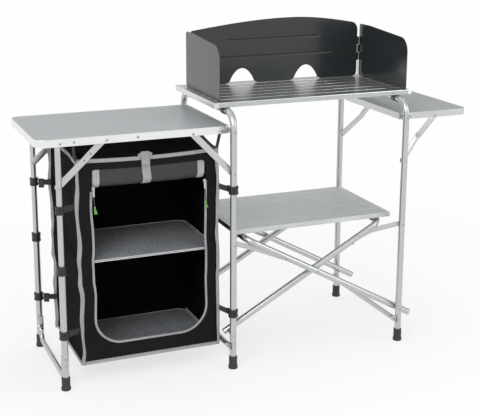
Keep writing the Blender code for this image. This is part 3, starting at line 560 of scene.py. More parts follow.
tableGrey = tableFace("side table board", (0.32, 0.343, 0.352), (0.40, 0.424, 0.433), 0.36)
# the wing board is the side table's laminate; this darker copy is painted shade
wingGreyShaded = tableFace("wing board", (0.296, 0.318, 0.323), (0.366, 0.388, 0.393), 0.38)
underGrey = tableFace("boards from below", (0.30, 0.31, 0.32), (0.38, 0.39, 0.40), 0.55)
screenGrey = screenPaint("windscreen paint", (0.018, 0.0215, 0.0235), (0.027, 0.031, 0.0335), 0.20, 0.21)
footRubber = mouldedPlastic("foot rubber", (0.020, 0.020, 0.021), (0.040, 0.040, 0.042), 0.62, 900)
clipBlack = mouldedPlastic("clip plastic", (0.010, 0.010, 0.011), (0.022, 0.022, 0.024), 0.42)
frontBlack = wovenCloth("front cloth", (0.003, 0.003, 0.0035), (0.010, 0.010, 0.011), 0.46, sheen=0.02,
                        crumple=3.2, gloss=0.11)
# the lid is the front's cloth; its darker base colour is painted shade under the side table
lidBlackShaded = wovenCloth("lid cloth", (0.0025, 0.0025, 0.003), (0.007, 0.007, 0.008), 0.80, crumple=2.4,
                      gloss=0.04)
sideBlack = wovenCloth("side cloth", (0.004, 0.0043, 0.0047), (0.010, 0.0105, 0.011), 0.72, crumple=2.8,
                       gloss=0.02)
rollGrey = wovenCloth("rolled cloth", (0.020, 0.020, 0.0225), (0.043, 0.043, 0.047), 0.38, 0.0006, sheen=0.06,
                      crumple=4.6, gloss=0.45)
bindingGrey = ribbedTape("binding", (0.26, 0.26, 0.265), (0.46, 0.46, 0.465))
tieGrey = wovenCloth("tie webbing", (0.18, 0.185, 0.185), (0.62, 0.63, 0.63), 0.7, 0.0016, 0.0003, sheen=0.1,
                     gloss=0.3)
# the boards' edge binding is the cupboard's grey tape; this lighter copy is painted light on the boards
# inside the cupboard
boardBindingLit = ribbedTape("board binding", (0.55, 0.56, 0.57), (0.85, 0.86, 0.87))
bandEnd = ribbedTape("roll band", (0.16, 0.165, 0.165), (0.62, 0.63, 0.63), 0.0040, 0.0007, True)
zipGrey = ribbedTape("zip tape", (0.20, 0.20, 0.205), (0.48, 0.48, 0.49), 0.0022, 0.0004, True)
webbingBlack = ribbedTape("black webbing", (0.008, 0.008, 0.008), (0.026, 0.026, 0.027), 0.0013)
boardCloth = mottledBoard("board cloth", (0.050, 0.055, 0.061), (0.42, 0.445, 0.47), 0.80)
clipGrey = mouldedPlastic("grey clip plastic", (0.07, 0.072, 0.075), (0.13, 0.133, 0.136), 0.45)
tabGreen = mouldedPlastic("green tab", (0.10, 0.36, 0.05), (0.19, 0.52, 0.09), 0.5)
cordGrey = ribbedTape("pull cord", (0.035, 0.035, 0.036), (0.12, 0.12, 0.12), 0.0008)
sliderSilver = tubeMetal("slider", (0.55, 0.55, 0.56), (0.80, 0.80, 0.81), 0.34)
# the rivet's hole is coloured near black: painted shade, deeper than the drawn hole
holeShade = Finish("rivet hollow")
holeShade.shade(holeShade.between(holeShade.speckle((900, 900, 900)) + 0.5, (0.006, 0.006, 0.006),
                            (0.020, 0.020, 0.021)), 0.6)
rivetMaster.data.materials.append(rivetSilverShaded)
rivetMaster.data.materials.append(holeShade.material)
# faces inside the hole take the painted shade
for face in rivetMaster.data.polygons:
    face.material_index = 1 if face.center.xy.length < rivetHead["hole"] * 1.08 and face.center.z > 0 else 0
print("finishes made")


# Camera, light and floor

shot = {"place": (-1.1405, -2.9988, 1.3812), "yaw": -22.613, "pitch": 13.563, "roll": 0.257,
        "focal": 1070.5, "rise": -50, "width": 480}
yaw, pitch, roll = (math.radians(shot[k]) for k in ("yaw", "pitch", "roll"))
back = Vector((math.sin(yaw) * math.cos(pitch), -math.cos(yaw) * math.cos(pitch), math.sin(pitch)))
right = (-back).cross(Vector((0, 0, 1))).normalized()
up = right.cross(-back)
right, up = right * math.cos(roll) + up * math.sin(roll), up * math.cos(roll) - right * math.sin(roll)
bpy.ops.object.camera_add(location=at(*shot["place"]))
camera = bpy.context.object
camera.rotation_euler = Matrix((right, up, back)).transposed().to_euler()
camera.data.sensor_width = 36
camera.data.lens = shot["focal"] * 36 / shot["width"]
camera.data.shift_y = shot["rise"] / shot["width"]
bpy.context.scene.camera = camera


def softbox(name, place, target, size, power):
    bpy.ops.object.light_add(type="AREA", location=place)
    lamp = bpy.context.object
    lamp.name, lamp.data.shape, lamp.data.size, lamp.data.energy = name, "DISK", size, power
    lamp.rotation_euler = (Vector(place) - Vector(target)).to_track_quat("Z", "Y").to_euler()


softbox("keyLight", (-2.4, -2.6, 2.9), (0, 0, 0.5), 2.2, 62)
softbox("fillLight", (2.6, -2.2, 1.8), (0, 0, 0.5), 2.4, 22)
softbox("topLight", (0.2, 0.3, 3.4), (0, 0, 0.5), 2.6, 30)
bpy.context.object.visible_glossy = False

studio = bpy.data.worlds.new("studio")
bpy.context.scene.world = studio
studio.use_nodes = True
room = Finish("", studio.node_tree)
rays = room.node("ShaderNodeLightPath").outputs
direction = room.node("ShaderNodeSeparateXYZ", None,
                      {0: room.node("ShaderNodeTexCoord").outputs["Generated"]})
x, y, z = (Signal(room, direction.outputs[i]) for i in range(3))
shown = Signal(room, rays["Is Camera Ray"]) + Signal(room, rays["Is Transmission Ray"])
glossy = Signal(room, rays["Is Glossy Ray"])
mirror = room.node("ShaderNodeClamp", None,
                   {"Value": 0.93 - x * 0.40 - y * 0.16 + z * 0.10, "Min": 0.30, "Max": 1.0})
strength = shown + (1 - shown) * (glossy * Signal(room, mirror.outputs[0]) + (1 - glossy) * 0.62)
sky = room.node("ShaderNodeBackground", None, {"Color": (1, 1, 1, 1), "Strength": strength})
room.tree.links.new(sky.outputs[0], room.node("ShaderNodeOutputWorld").inputs[0])

only()
bpy.ops.mesh.primitive_plane_add(size=60, location=(0, 0, -0.0005))
floor = bpy.context.object
floor.name = "floor"
ground = Finish("pale floor")
rays = ground.node("ShaderNodeLightPath").outputs
seen = (Signal(ground, rays["Is Camera Ray"]) + Signal(ground, rays["Is Transmission Ray"])
        + Signal(ground, rays["Is Glossy Ray"]))
fromMiddle = ground.node("ShaderNodeVectorMath", {"operation": "LENGTH"},
                         {0: ground.coordinates((1, 1, 1))}).outputs["Value"]
away = ground.node("ShaderNodeMapRange", {"interpolation_type": "SMOOTHSTEP"},
                   {"Value": fromMiddle, "From Min": 0.5, "From Max": 2.4, "To Min": 0.72,
                    "To Max": 0.98}).outputs[0]
paint = ground.node("ShaderNodeBsdfDiffuse", None, {"Color": (0.90, 0.90, 0.90, 1)})
glow = ground.node("ShaderNodeEmission", None, {"Color": (1, 1, 1, 1), "Strength": 1.0})
mixed = ground.node("ShaderNodeMixShader", None,
                    {0: seen * Signal(ground, away), 1: paint.outputs[0], 2: glow.outputs[0]})
ground.tree.links.new(mixed.outputs[0], ground.node("ShaderNodeOutputMaterial").inputs[0])
floor.data.materials.append(ground.material)
bpy.context.scene.view_settings.view_transform = "Standard"
print("camera, lamps and floor set")


# Main stand

stand = {"span": 0.573, "legY": 0.213, "topZ": 0.785, "bottomZ": 0.0063, "radius": 0.010, "bend": 0.045,
         "legRivets": {"left": (0.732, 0.608, 0.391, 0.108), "right": (0.732, 0.595, 0.391, 0.108)},
         "brackets": {"left": (-0.025, 0.731, 0.1813), "right": (0.027, 0.731, 0.1853)},
         "bracketHalf": 0.009, "bracketThick": 0.0022}
leftX, rightX, legY = 0, stand["span"], stand["legY"]
for side, x, body, node in (("left", leftX, "stand", "left_frame_tube"),
                            ("right", rightX, "right_frame", "right_frame_tube")):
    arch = bendTube([at(x, -legY, stand["bottomZ"]), at(x, -legY, stand["topZ"]), at(x, legY, stand["topZ"]),
                     at(x, legY, stand["bottomZ"])], stand["radius"], stand["bend"], sides=32)
    arch.data.materials.append(tubeSilver)
    reach, bracketZ, bracketY = stand["brackets"][side]
    extras = []
    for s in (-1, 1):
        bracket = flatBar((x, bracketZ + 0.001), (x + reach, bracketZ), stand["bracketHalf"],
                          stand["bracketThick"],
                          s * (bracketY + stand["bracketThick"]), s)
        bracket.data.materials.append(barSilver)
        axle = pin(at(x, s * bracketY, bracketZ + 0.001), at(x, s * (legY - 0.009), bracketZ + 0.001), 0.0045)
        axle.data.materials.append(rivetSilverShaded)
        head = rivet(at(x + reach, s * (bracketY + stand["bracketThick"]), bracketZ), (0, s, 0), 1.15)
        extras += [bracket, axle, head]
        for z in stand["legRivets"][side]:
            head = rivet(at(x, s * (legY + stand["radius"] - 0.0004), z), (0, s, 0), 0.8)
            extras.append(head)
    together(arch, *extras)
    finished(arch, side + "Arch", tubeSilver, body, "aluminium", node)

stretcher = {"radius": 0.008, "z": 0.073, "end": 0.010, "flatHalf": 0.0015, "flatSpread": 0.0112,
             "press": 0.016}
for side, x, body, node in (("left", leftX, "stand", "left_frame_stretcher"),
                            ("right", rightX, "right_frame", "right_frame_stretcher")):
    middle = x - stand["radius"] - touch - stretcher["flatHalf"]
    end = legY + stretcher["end"]
    stations = [-end, -end + 0.004, *(-end + 0.012 + 0.003 * i for i in range(10))]
    points = [at(middle, y, stretcher["z"]) for y in stations + [-y for y in stations[::-1]]]
    bar = bendTube(points, stretcher["radius"])
    for s in (-1, 1):
        pressFlat(bar, at(middle, s * end, stretcher["z"]), (0, s, 0), 0.018, stretcher["press"], (1, 0, 0),
                  stretcher["radius"], stretcher["flatHalf"], stretcher["flatSpread"])
    bar.data.materials.append(tubeSilver)
    extras = []
    for s in (-1, 1):
        for face, size in ((middle - stretcher["flatHalf"], 0.9), (x + stand["radius"] - 0.0004, 0.8)):
            head = rivet(at(face, s * legY, stretcher["z"]), (1 if face > x else -1, 0, 0), size)
            extras.append(head)
    finished(together(outward(bar), *extras), side + "Stretcher", tubeSilver, body, "aluminium", node)
print("stand made")


# Rubber feet

footShape = {"outer": 0.0125, "ring": 0.0141, "height": 0.040, "ringHeight": 0.010, "sole": 0.006}


def foot(x, y):
    outer, ring, height, ringHeight = (footShape[k] for k in ("outer", "ring", "height", "ringHeight"))
    profile = [(ring * 0.90, 0), (ring * 0.985, 0.0008), (ring, 0.0022), (ring, ringHeight - 0.0016),
               (ring * 0.975, ringHeight - 0.0004),
               (outer + 0.0003, ringHeight + 0.0004), (outer * 0.985, ringHeight + 0.0016),
               (outer, ringHeight + 0.0030),
               (outer, height - 0.0010), (outer * 0.98, height - 0.0002), (outer * 0.94, height),
               (0.0102, height), (0.0101, height - 0.002), (0.0101, height - 0.012)]
    made = domed(profile, 36)
    made.data.transform(Matrix.Translation(at(x, y, 0)))
    return made


sideLeg = {"x": -0.504, "y": 0.170, "upper": 0.0085, "lower": 0.010, "upperBottom": 0.305, "pivotZ": 0.730,
           "upperTop": 0.733,
           "lowerTop": 0.372, "rivets": (0.6035,), "stretcherRivets": (0.0976, 0.0773)}
for name, node, x, s, y, body in (("leftFrontFoot", "left_front_foot", leftX, -1, legY, "stand"),
                                  ("leftRearFoot", "left_rear_foot", leftX, 1, legY, "stand"),
                                  ("rightFrontFoot", "right_front_foot", rightX, -1, legY, "right_frame"),
                                  ("rightRearFoot", "right_rear_foot", rightX, 1, legY, "right_frame"),
                                  ("sideFrontFoot", "side_front_foot", sideLeg["x"], -1, sideLeg["y"],
                                   "lower_legs"),
                                  ("sideRearFoot", "side_rear_foot", sideLeg["x"], 1, sideLeg["y"],
                                   "lower_legs")):
    finished(foot(x, s * y), name, footRubber, body, "rubber", node)
print("feet made")


# Scissor base

scissor = {"pivotZ": 0.108, "toCross": 0.327, "toBar": 0.595, "barZ": 0.395,
           "frameY": {"a": 0.168, "b": 0.192},
           "tail": {"a": 0.0137, "b": 0.0555}, "bend": 0.035, "radius": 0.010}
lean = math.asin((scissor["barZ"] - scissor["pivotZ"]) / scissor["toBar"])
slopes = {"a": Vector((math.cos(lean), 0, math.sin(lean))), "b": Vector((-math.cos(lean), 0, math.sin(lean)))}
lowers = {"a": at(leftX, 0, scissor["pivotZ"]), "b": at(rightX, 0, scissor["pivotZ"])}
links = {"half": 0.0082, "thick": 0.0024, "legZ": 0.391, "leftLegX": 0.008, "below": {"a": 0.118, "b": 0.147},
         "drop": 0.005,
         "legFace": 0.2024, "bends": {"a": (0.004, 0.082), "b": (0.004, 0.062)}}
linkRivets = {}
for key in ("a", "b"):
    drop = (Vector((slopes[key].z, 0, -slopes[key].x)) if key == "a"
            else Vector((-slopes[key].z, 0, slopes[key].x)))
    linkRivets[key] = (lowers[key] + slopes[key] * (scissor["toBar"] - links["below"][key])
                       + drop * links["drop"])
for key in ("a", "b"):
    frameY, tail, slope, lower = scissor["frameY"][key], scissor["tail"][key], slopes[key], lowers[key]
    side = Vector((0, frameY, 0))
    tube = bendTube([lower - slope * tail - side, lower + slope * scissor["toBar"] - side,
                     lower + slope * scissor["toBar"] + side, lower - slope * tail + side], scissor["radius"],
                    scissor["bend"])
    tube.data.materials.append(tubeSilver)
    extras = []
    crossing = lower + slope * scissor["toCross"]
    for s in (-1, 1):
        outer = s * (frameY + scissor["radius"])
        heads = [(linkRivets[key], 0.9), (lower, 0.9)]
        if key == "b":
            heads.append((crossing, 1.0))
        for where, size in heads:
            face = outer - s * (0.0004 if where is not linkRivets[key] else 0.0014)
            extras.append(rivet((where.x, face, where.z), (0, s, 0), size))
        pins = [(lower, legY - 0.0103)]
        if key == "a":
            pins.append((crossing, scissor["frameY"]["b"] - 0.0103))
        for where, end in pins:
            extras.append(pin((where.x, outer - s * 0.002, where.z), (where.x, s * end, where.z), 0.005))
    painted(rivetSilverShaded, extras)
    finished(together(tube, *extras), "crossFrame" + key.upper(), tubeSilver, "scissor_" + key, "aluminium",
             "cross_frame_" + key)

for end, s in (("Front", -1), ("Rear", 1)):
    for side, legX, key, body in (("left", links["leftLegX"], "b", "left_links"),
                                  ("right", rightX, "a", "right_links")):
        outer = scissor["frameY"][key] - scissor["radius"] - (0.0008 if key == "b" else 0.0003)
        where = linkRivets[key]
        far = (where.x - standLeft, where.z)
        bar = flatBar((legX, links["legZ"]), far, links["half"], links["thick"], s * outer, s)
        joggled(bar, (legX, links["legZ"]), far, s * (links["legFace"] - outer), *links["bends"][key])
        bar.data.materials.append(barSilver)
        inner, legSide = s * (outer - links["thick"]), s * (links["legFace"] - links["thick"])
        heads = [rivet(at(legX, legSide, links["legZ"]), (0, -s, 0)),
                 rivet((where.x, inner, where.z), (0, -s, 0))]
        finished(together(bar, *heads), f"{side}Link{end}", barSilver, body, "aluminium",
                 f"link_{side}_{end.lower()}")
print("scissor base made")


# Slatted boards

def slats(x0, x1, halfY, z0, thick, count, groove, rail, nose, railFinish, slatFinish, edgeFinishOrHighlight, ease):
    pitch = 2 * halfY / count
    pieces = []
    only()
    for i in range(count):
        y0 = -halfY + pitch * i + (groove / 2 if i else 0)
        y1 = -halfY + pitch * (i + 1) - (groove / 2 if i < count - 1 else 0)
        near, far = x0 + rail + 0.00015, x1 - rail - 0.00015
        made = plate([at(near, y0, z0), at(far, y0, z0), at(far, y1, z0), at(near, y1, z0)], (0,) * 4,
                     (0, 0, thick), ease)
        choose(made, "FACE", lambda face: face.normal.z < -0.9 and face.calc_area() > pitch * (x1 - x0) * 0.3)
        bpy.ops.mesh.inset(thickness=0.0012)
        extrude((0, 0, thick - 0.0018))
        outward(made)
        made.data.materials.append(slatFinish)
        made.data.materials.append(edgeFinishOrHighlight)
        # the bevelled edges take the second finish; on the cook top that is the painted highlight
        for face in made.data.polygons:
            if 0.15 < face.normal.z < 0.97:
                face.material_index = 1
        pieces.append(made)
    low = z0 + thick - 0.0060
    under = plate([at(x0 + rail, -halfY + 0.004, low - 0.0012), at(x1 - rail, -halfY + 0.004, low - 0.0012),
                   at(x1 - rail, halfY - 0.004, low - 0.0012), at(x0 + rail, halfY - 0.004, low - 0.0012)],
                  (0,) * 4, (0, 0, 0.0012), 0)
    under.data.materials.append(slatFinish)
    pieces.append(under)
    for a, b, radii in ((x0, x0 + rail, (0.001, 0.001, 0.001, 0.001)),
                        (x1 - rail, x1, (0.001, nose, nose, 0.001))):
        end = plate([at(a, -halfY, z0), at(b, -halfY, z0), at(b, -halfY, z0 + thick),
                     at(a, -halfY, z0 + thick)],
                    radii, (0, 2 * halfY, 0), 0.0004)
        end.data.materials.append(railFinish)
        pieces.append(end)
    return together(*pieces)


def saddle(x, y, z, radius, wide, top, finish):
    # a plastic half ring under a bar, with its foot against the board above
    ring = bendTube([at(x, y - wide / 2, z), at(x, y + wide / 2, z)], radius + 0.0028, wall=0.0026, sides=24)
    block = plate([at(x - 0.010, y - wide / 2, z + 0.004), at(x + 0.010, y - wide / 2, z + 0.004),
                   at(x + 0.013, y - wide / 2, top), at(x - 0.013, y - wide / 2, top)], (0.002, 0.002, 0, 0),
                  (0, wide, 0), 0.0005)
    made = together(ring, block)
    made.data.materials.append(finish)
    return made


barAX = slopes["a"].x * scissor["toBar"]
barBX = rightX - barAX
fullRadius = scissor["radius"] / math.cos(math.pi / 12)
shelf = {"x0": barBX - 0.027, "x1": barAX + 0.034, "halfY": 0.168, "z0": scissor["barZ"] + fullRadius + touch,
         "thick": 0.0147,
         "slats": 6, "groove": 0.0011, "rail": 0.012, "clipY": 0.118}
board = slats(shelf["x0"], shelf["x1"], shelf["halfY"], shelf["z0"], shelf["thick"], shelf["slats"],
              shelf["groove"],
              shelf["rail"], 0.003, shelfSilver, shelfSilver, shelfSilver, 0.0007)
near, far, end = shelf["x0"] - 0.0012, shelf["x0"] + 0.004, shelf["halfY"] - 0.0008
low, high = shelf["z0"] + 0.001, shelf["z0"] + shelf["thick"] - 0.0010
edging = plate([at(near, -end, low), at(far, -end, low), at(far, -end, high), at(near, -end, high)],
               (0.0012, 0, 0, 0.0012), (0, 2 * end, 0), 0.0002)
edging.data.materials.append(clipBlack)
finished(together(board, edging), "lowerShelf", shelfSilver, "shelf", "slat", "lower_shelf")
for name, x in (("Left", barBX), ("Right", barAX)):
    for end, s in (("Front", -1), ("Rear", 1)):
        made = saddle(x, s * shelf["clipY"], scissor["barZ"], 0.0105, 0.013, shelf["z0"] - 0.0001, clipBlack)
        finished(made, f"shelfClip{name}{end}", clipBlack, "shelf", "plastic")

cook = {"x0": -0.042, "x1": rightX + 0.0435, "halfY": 0.168, "z0": stand["topZ"] + 0.0103, "thick": 0.0147,
        "slats": 7,
        "groove": 0.0024, "rail": 0.012, "nose": 0.006, "channel": 0.015, "wall": 0.001, "clipY": 0.146,
        "rivets": (0.5505,)}
# the cook top's slat edges take the bright copy of the slat metal, a painted highlight; its end rails are
# drawn in that same bright metal
board = slats(cook["x0"], cook["x1"], cook["halfY"], cook["z0"], cook["thick"], cook["slats"], cook["groove"],
              cook["rail"], cook["nose"], slatEdgeHighlight, slatSilver, slatEdgeHighlight, 0.0014)
x0, low = cook["x0"] - cook["wall"], cook["z0"] - cook["wall"]
x1, high = x0 + cook["channel"], cook["z0"] + cook["thick"] + cook["wall"]
reach = cook["halfY"] + cook["wall"]
channel = plate([at(x0, -reach, low), at(x1, -reach, low), at(x1, -reach, high), at(x0, -reach, high)],
                (0.001, 0.0006, 0.0006, 0.001), (0, 2 * reach, 0), 0.0003)
channel.data.materials.append(channelSilver)
extras = []
for x in cook["rivets"]:
    for s in (-1, 1):
        head = rivet(at(x, s * (cook["halfY"] - 0.0003), cook["z0"] + 0.0078), (0, s, 0), 0.7)
        extras.append(head)
finished(together(board, channel, *extras), "cookTop", slatSilver, "cook_top", "slat", "cook_top")
for name, x in (("Left", leftX), ("Right", rightX)):
    for end, s in (("Front", -1), ("Rear", 1)):
        made = saddle(x, s * cook["clipY"], stand["topZ"], 0.0103, 0.016, cook["z0"] - 0.0001, clipGrey)
        finished(made, f"cookClip{name}{end}", clipGrey, "cook_top", "plastic")
print("slatted boards made")


# Windscreen

screen = {"foot": 0.8103, "y": 0.130, "thick": 0.0015, "x0": -0.008, "x1": 0.582, "leftHeight": 0.173,
          "crownHeight": 0.2045, "rightHeight": 0.1775, "crownShare": 0.60, "corner": 0.016,
          "topCorner": 0.021,
          "ventX": 0.119, "ventWide": 0.1135, "ventHigh": 0.048, "ventPitch": 0.2258, "footShare": 0.26,
          "footRise": 0.14,
          "grooves": (((0.113, 0.949), (0.443, 0.952)), ((0.0835, 0.894), (0.486, 0.897))),
          "grooveDeep": 0.0021,
          "grooveWide": 0.0024, "pinOut": {"left": 0.007, "right": 0.0055}, "pinY": 0.132,
          "pinRadius": 0.0012,
          "knuckle": 0.003, "lowShare": 0.30, "highShare": 0.74, "foldOffset": 0.0045,
          "reach": {"left": 0.2855, "right": 0.3055}, "sideHeight": 0.174, "slopeShare": 0.22, "fall": 0.016,
          "nose": 0.042}


def ventEdge(x):
    # height of the rear sheet's lower edge: two bells, and rounded ends
    for i in range(2):
        share = (x - screen["x0"] - screen["ventX"] - screen["ventPitch"] * i) / screen["ventWide"]
        if 0 < share < 1:
            reach, foot, rise = 2 * min(share, 1 - share), screen["footShare"], screen["footRise"]
            if reach < foot:
                return screen["ventHigh"] * rise * (reach / foot) ** 1.7
            return screen["ventHigh"] * (rise + (1 - rise) * (1 - ((1 - reach) / (1 - foot)) ** 2) ** 0.85)
    inside = min(x - screen["x0"], screen["x1"] - x)
    corner = screen["corner"]
    return corner - math.sqrt(max(corner ** 2 - (corner - inside) ** 2, 0)) if inside < corner else 0


def crownEdge(x):
    crown = screen["x0"] + (screen["x1"] - screen["x0"]) * screen["crownShare"]
    start, height = ((screen["x0"], screen["leftHeight"]) if x < crown
                     else (screen["x1"], screen["rightHeight"]))
    share = (x - start) / (crown - start)
    top = height + (screen["crownHeight"] - height) * math.sin(math.pi / 2 * share)
    inside, corner = screen["x1"] - x, screen["topCorner"]
    if inside < corner:
        top -= corner - math.sqrt(max(corner ** 2 - (corner - inside) ** 2, 0))
    inside, corner = x - screen["x0"], 0.009
    if inside < corner:
        top -= corner - math.sqrt(max(corner ** 2 - (corner - inside) ** 2, 0))
    return top


def grooveDepth(x, z):
    depth = 0
    for (xa, za), (xb, zb) in screen["grooves"]:
        middle = za + (zb - za) * (x - xa) / (xb - xa)
        ends = min(max(min(x - xa, xb - x) / 0.004, 0), 1)
        depth += ends * math.exp(-((z - middle) / screen["grooveWide"]) ** 2)
    return depth * screen["grooveDeep"]


screenRows = [0, 0.35, 0.7, 1]                       # shares of the height up to the first level
levels = [0.060 + 0.0012 * i for i in range(78)]     # heights where rows run level, up to the arch


def screenPoint(u, v):
    # columns bunch at the two ends, where the corners are round
    x = screen["x0"] + (screen["x1"] - screen["x0"]) * (u - 0.32 / (2 * math.pi) * math.sin(2 * math.pi * u))
    rows = len(screenRows) - 1 + len(levels) - 1 + 8
    k = round(v * rows)
    if k < len(screenRows):
        low = ventEdge(x)
        z = low + (levels[0] - low) * screenRows[k]
    elif k < len(screenRows) + len(levels) - 1:
        z = levels[k - len(screenRows) + 1]
    else:
        share = (k - len(screenRows) - len(levels) + 2) / 8
        z = levels[-1] + (crownEdge(x) - levels[-1]) * share
    z = min(z, crownEdge(x)) if k >= len(screenRows) else z
    return at(x, screen["y"] + grooveDepth(x, z + screen["foot"]), z + screen["foot"])


rearSheet = shapedGrid(220, len(screenRows) + len(levels) + 6, screenPoint, (0.59, 0.2), False)
edit(rearSheet, "VERT")
bpy.ops.mesh.select_all(action="SELECT")
bpy.ops.mesh.remove_doubles(threshold=2e-5)
bpy.ops.object.mode_set(mode="OBJECT")
modify(rearSheet, "SOLIDIFY", thickness=screen["thick"], offset=0)
outward(rearSheet, 40)
rearSheet.data.materials.append(screenGrey)


def hingeRings(side, shares, leaf):
    out, height = screen["pinOut"][side], screen["leftHeight" if side == "left" else "rightHeight"]
    x = screen["x0"] - out if side == "left" else screen["x1"] + out
    made = []
    for low, high in shares:
        ring = bendTube([at(x, screen["pinY"], screen["foot"] + height * low + 0.0002),
                         at(x, screen["pinY"], screen["foot"] + height * high - 0.0002)], screen["knuckle"],
                        wall=0.0016, sides=20)
        tongue = plate([at(*leaf[0], screen["foot"] + height * low + 0.0002),
                        at(*leaf[1], screen["foot"] + height * low + 0.0002),
                        at(*leaf[2], screen["foot"] + height * low + 0.0002),
                        at(*leaf[3], screen["foot"] + height * low + 0.0002)],
                       (0,) * 4, (0, 0, height * (high - low) - 0.0004), 0)
        made += [ring, tongue]
    painted(screenGrey, made)
    return made


span = (screen["highShare"] - screen["lowShare"]) / 3
backShares = [(screen["lowShare"], screen["lowShare"] + span),
              (screen["highShare"] - span, screen["highShare"])]
sideShares = [(screen["lowShare"] + span + 0.004, screen["highShare"] - span - 0.004)]
half = screen["thick"] / 2
rings = []
for side, sign, edge in (("left", -1, screen["x0"]), ("right", 1, screen["x1"])):
    x = edge + sign * screen["pinOut"][side]
    near, far = x - sign * 0.0019, edge - sign * 0.001
    leaf = [(near, screen["y"] - half), (far, screen["y"] - half), (far, screen["y"] + half),
            (near, screen["y"] + half)]
    rings += hingeRings(side, backShares, leaf)
finished(together(rearSheet, *rings), "windscreenBack", screenGrey, "cook_top", "screen", "windscreen_back")

for side, sign, edge in (("left", -1, screen["x0"]), ("right", 1, screen["x1"])):
    x = edge + sign * screen["pinOut"][side]
    middle = x + sign * screen["foldOffset"]
    rear, front = screen["pinY"], screen["pinY"] - screen["reach"][side]
    low, top = screen["foot"], screen["foot"] + screen["sideHeight"]
    panel = plate([at(middle - half, rear, low), at(middle - half, rear, top),
                   at(middle - half, rear - screen["reach"][side] * screen["slopeShare"], top),
                   at(middle - half, front, top - screen["fall"]), at(middle - half, front, low)],
                  (0.013, 0.009, 0.03, screen["nose"], 0.004), (screen["thick"], 0, 0), 0.0003)
    panel.data.materials.append(screenGrey)
    near = x + sign * 0.0019
    leaf = [(near, screen["pinY"] - 0.0015), (middle + sign * half, screen["pinY"] - 0.0015),
            (middle + sign * half, screen["pinY"] - 0.00005), (near, screen["pinY"] - 0.00005)]
    extras = hingeRings(side, sideShares, leaf)
    if side == "left":
        head = rivet(at(middle - half, front + 0.014, low + 0.012), (-1, 0, 0), 0.55)
        extras.append(head)
    height = screen["leftHeight" if side == "left" else "rightHeight"]
    finished(together(panel, *extras), "windscreen" + side.capitalize(), screenGrey, "windscreen_" + side,
             "screen",
             "windscreen_" + side)
    wire = pin(at(x, screen["pinY"], low), at(x, screen["pinY"], low + height * screen["highShare"]),
               screen["pinRadius"], 14)
    finished(wire, f"screenPin{side.capitalize()}", rivetSilverShaded, "cook_top", "aluminium",
             "windscreen_pin_" + side)
print("windscreen made")


# Side table and wing: a board in a rim of band

bandThick, rimLip, rimFoot = 0.0015, 0.0035, 0.009


def bandRim(x0, x1, halfY, low, high, leftRound, rightRound):
    # a rounded outline drawn up, its lip turned in over the board and its foot turned in below
    corners = [at(x0, -halfY, low), at(x1, -halfY, low), at(x1, halfY, low), at(x0, halfY, low)]
    made = plate(corners, (leftRound, rightRound, rightRound, leftRound), (0, 0, high - low), 0)
    for level, way in ((high, -1), (low, 1)):
        choose(made, "FACE", lambda face: len(face.verts) > 8
               and abs(face.calc_center_median().z - level) < 1e-6)
        bpy.ops.mesh.inset(thickness=rimLip if way < 0 else rimFoot)
        extrude((0, 0, way * 0.0011))
        bpy.ops.mesh.delete(type="FACE")
    # the wall inside, between the two turned edges
    mesh = edit(made, "EDGE")
    for edge in mesh.edges:
        edge.select_set(edge.is_boundary)
    bmesh.update_edit_mesh(made.data)
    bpy.ops.mesh.bridge_edge_loops()
    outward(made)
    choose(made, "EDGE", lambda edge: len(edge.link_faces) == 2 and edge.calc_face_angle(0) > 1.2
           and edge.verts[0].co.z == edge.verts[1].co.z
           and min(abs(edge.verts[0].co.z - high), abs(edge.verts[0].co.z - low)) < 1e-5)
    bpy.ops.mesh.bevel(offset=0.0006, segments=3, affect="EDGES")
    return outward(made)


table = {"x0": -0.567, "x1": 0.0, "halfY": 0.181, "low": 0.722, "high": 0.744, "outerRound": 0.030,
         "innerRound": 0.012,
         "rivets": ((-0.499, 0.731), (-0.460, 0.7325), (-0.367, 0.731), (-0.277, 0.7325), (-0.112, 0.7273)),
         "board": 0.0038}
wing = {"x0": 0.570, "x1": 0.815, "halfY": 0.185, "low": 0.720, "high": 0.740, "innerRound": 0.010,
        "outerRound": 0.028,
        "rivets": ((0.586, 0.7300), (0.695, 0.7253)), "board": 0.0037}
# the wing's board and rim take their darker copies: painted shade
for shape, rounds, name, body, node, finish, band, boardSlot in (
        (table, (table["outerRound"], table["innerRound"]), "sideTable", "stand", "side_table", tableGrey,
         bandSilver, "tableboard"),
        (wing, (wing["innerRound"], wing["outerRound"]), "wing", "wing", "wing", wingGreyShaded, wingBandShaded,
         "wingboard")):
    rim = bandRim(shape["x0"], shape["x1"], shape["halfY"], shape["low"], shape["high"], *rounds)
    rim.data.materials.append(band)
    heads = [rivet(at(x, s * (shape["halfY"] - 0.0002), z), (0, s, 0), 0.95) for x, z in shape["rivets"]
             for s in (-1, 1)]
    finished(together(rim, *heads), name + "Rim", band, body, "aluminium", node + "_rim")
    inset, top = 0.0019, shape["high"] - 0.0011
    x0, x1, y = shape["x0"] + inset, shape["x1"] - inset, shape["halfY"] - inset
    left, right = rounds[0] - inset, rounds[1] - inset
    board = plate([at(x0, -y, top), at(x1, -y, top), at(x1, y, top), at(x0, y, top)],
                  (left, right, right, left),
                  (0, 0, -shape["board"] + 0.0006), 0)
    # the face rises a hair inside the lip, so that it shows sharp against it
    choose(board, "FACE", lambda face: face.normal.z > 0.9)
    bpy.ops.mesh.inset(thickness=0.0020)
    extrude((0, 0, 0.0006))
    outward(board)
    board.data.materials.append(finish)
    board.data.materials.append(underGrey)
    for face in board.data.polygons:
        face.material_index = 1 if face.normal.z < -0.9 else 0
    finished(board, name + "Board", finish, body, boardSlot, node + "_panel")
print("side table and wing made")


# Knee braces

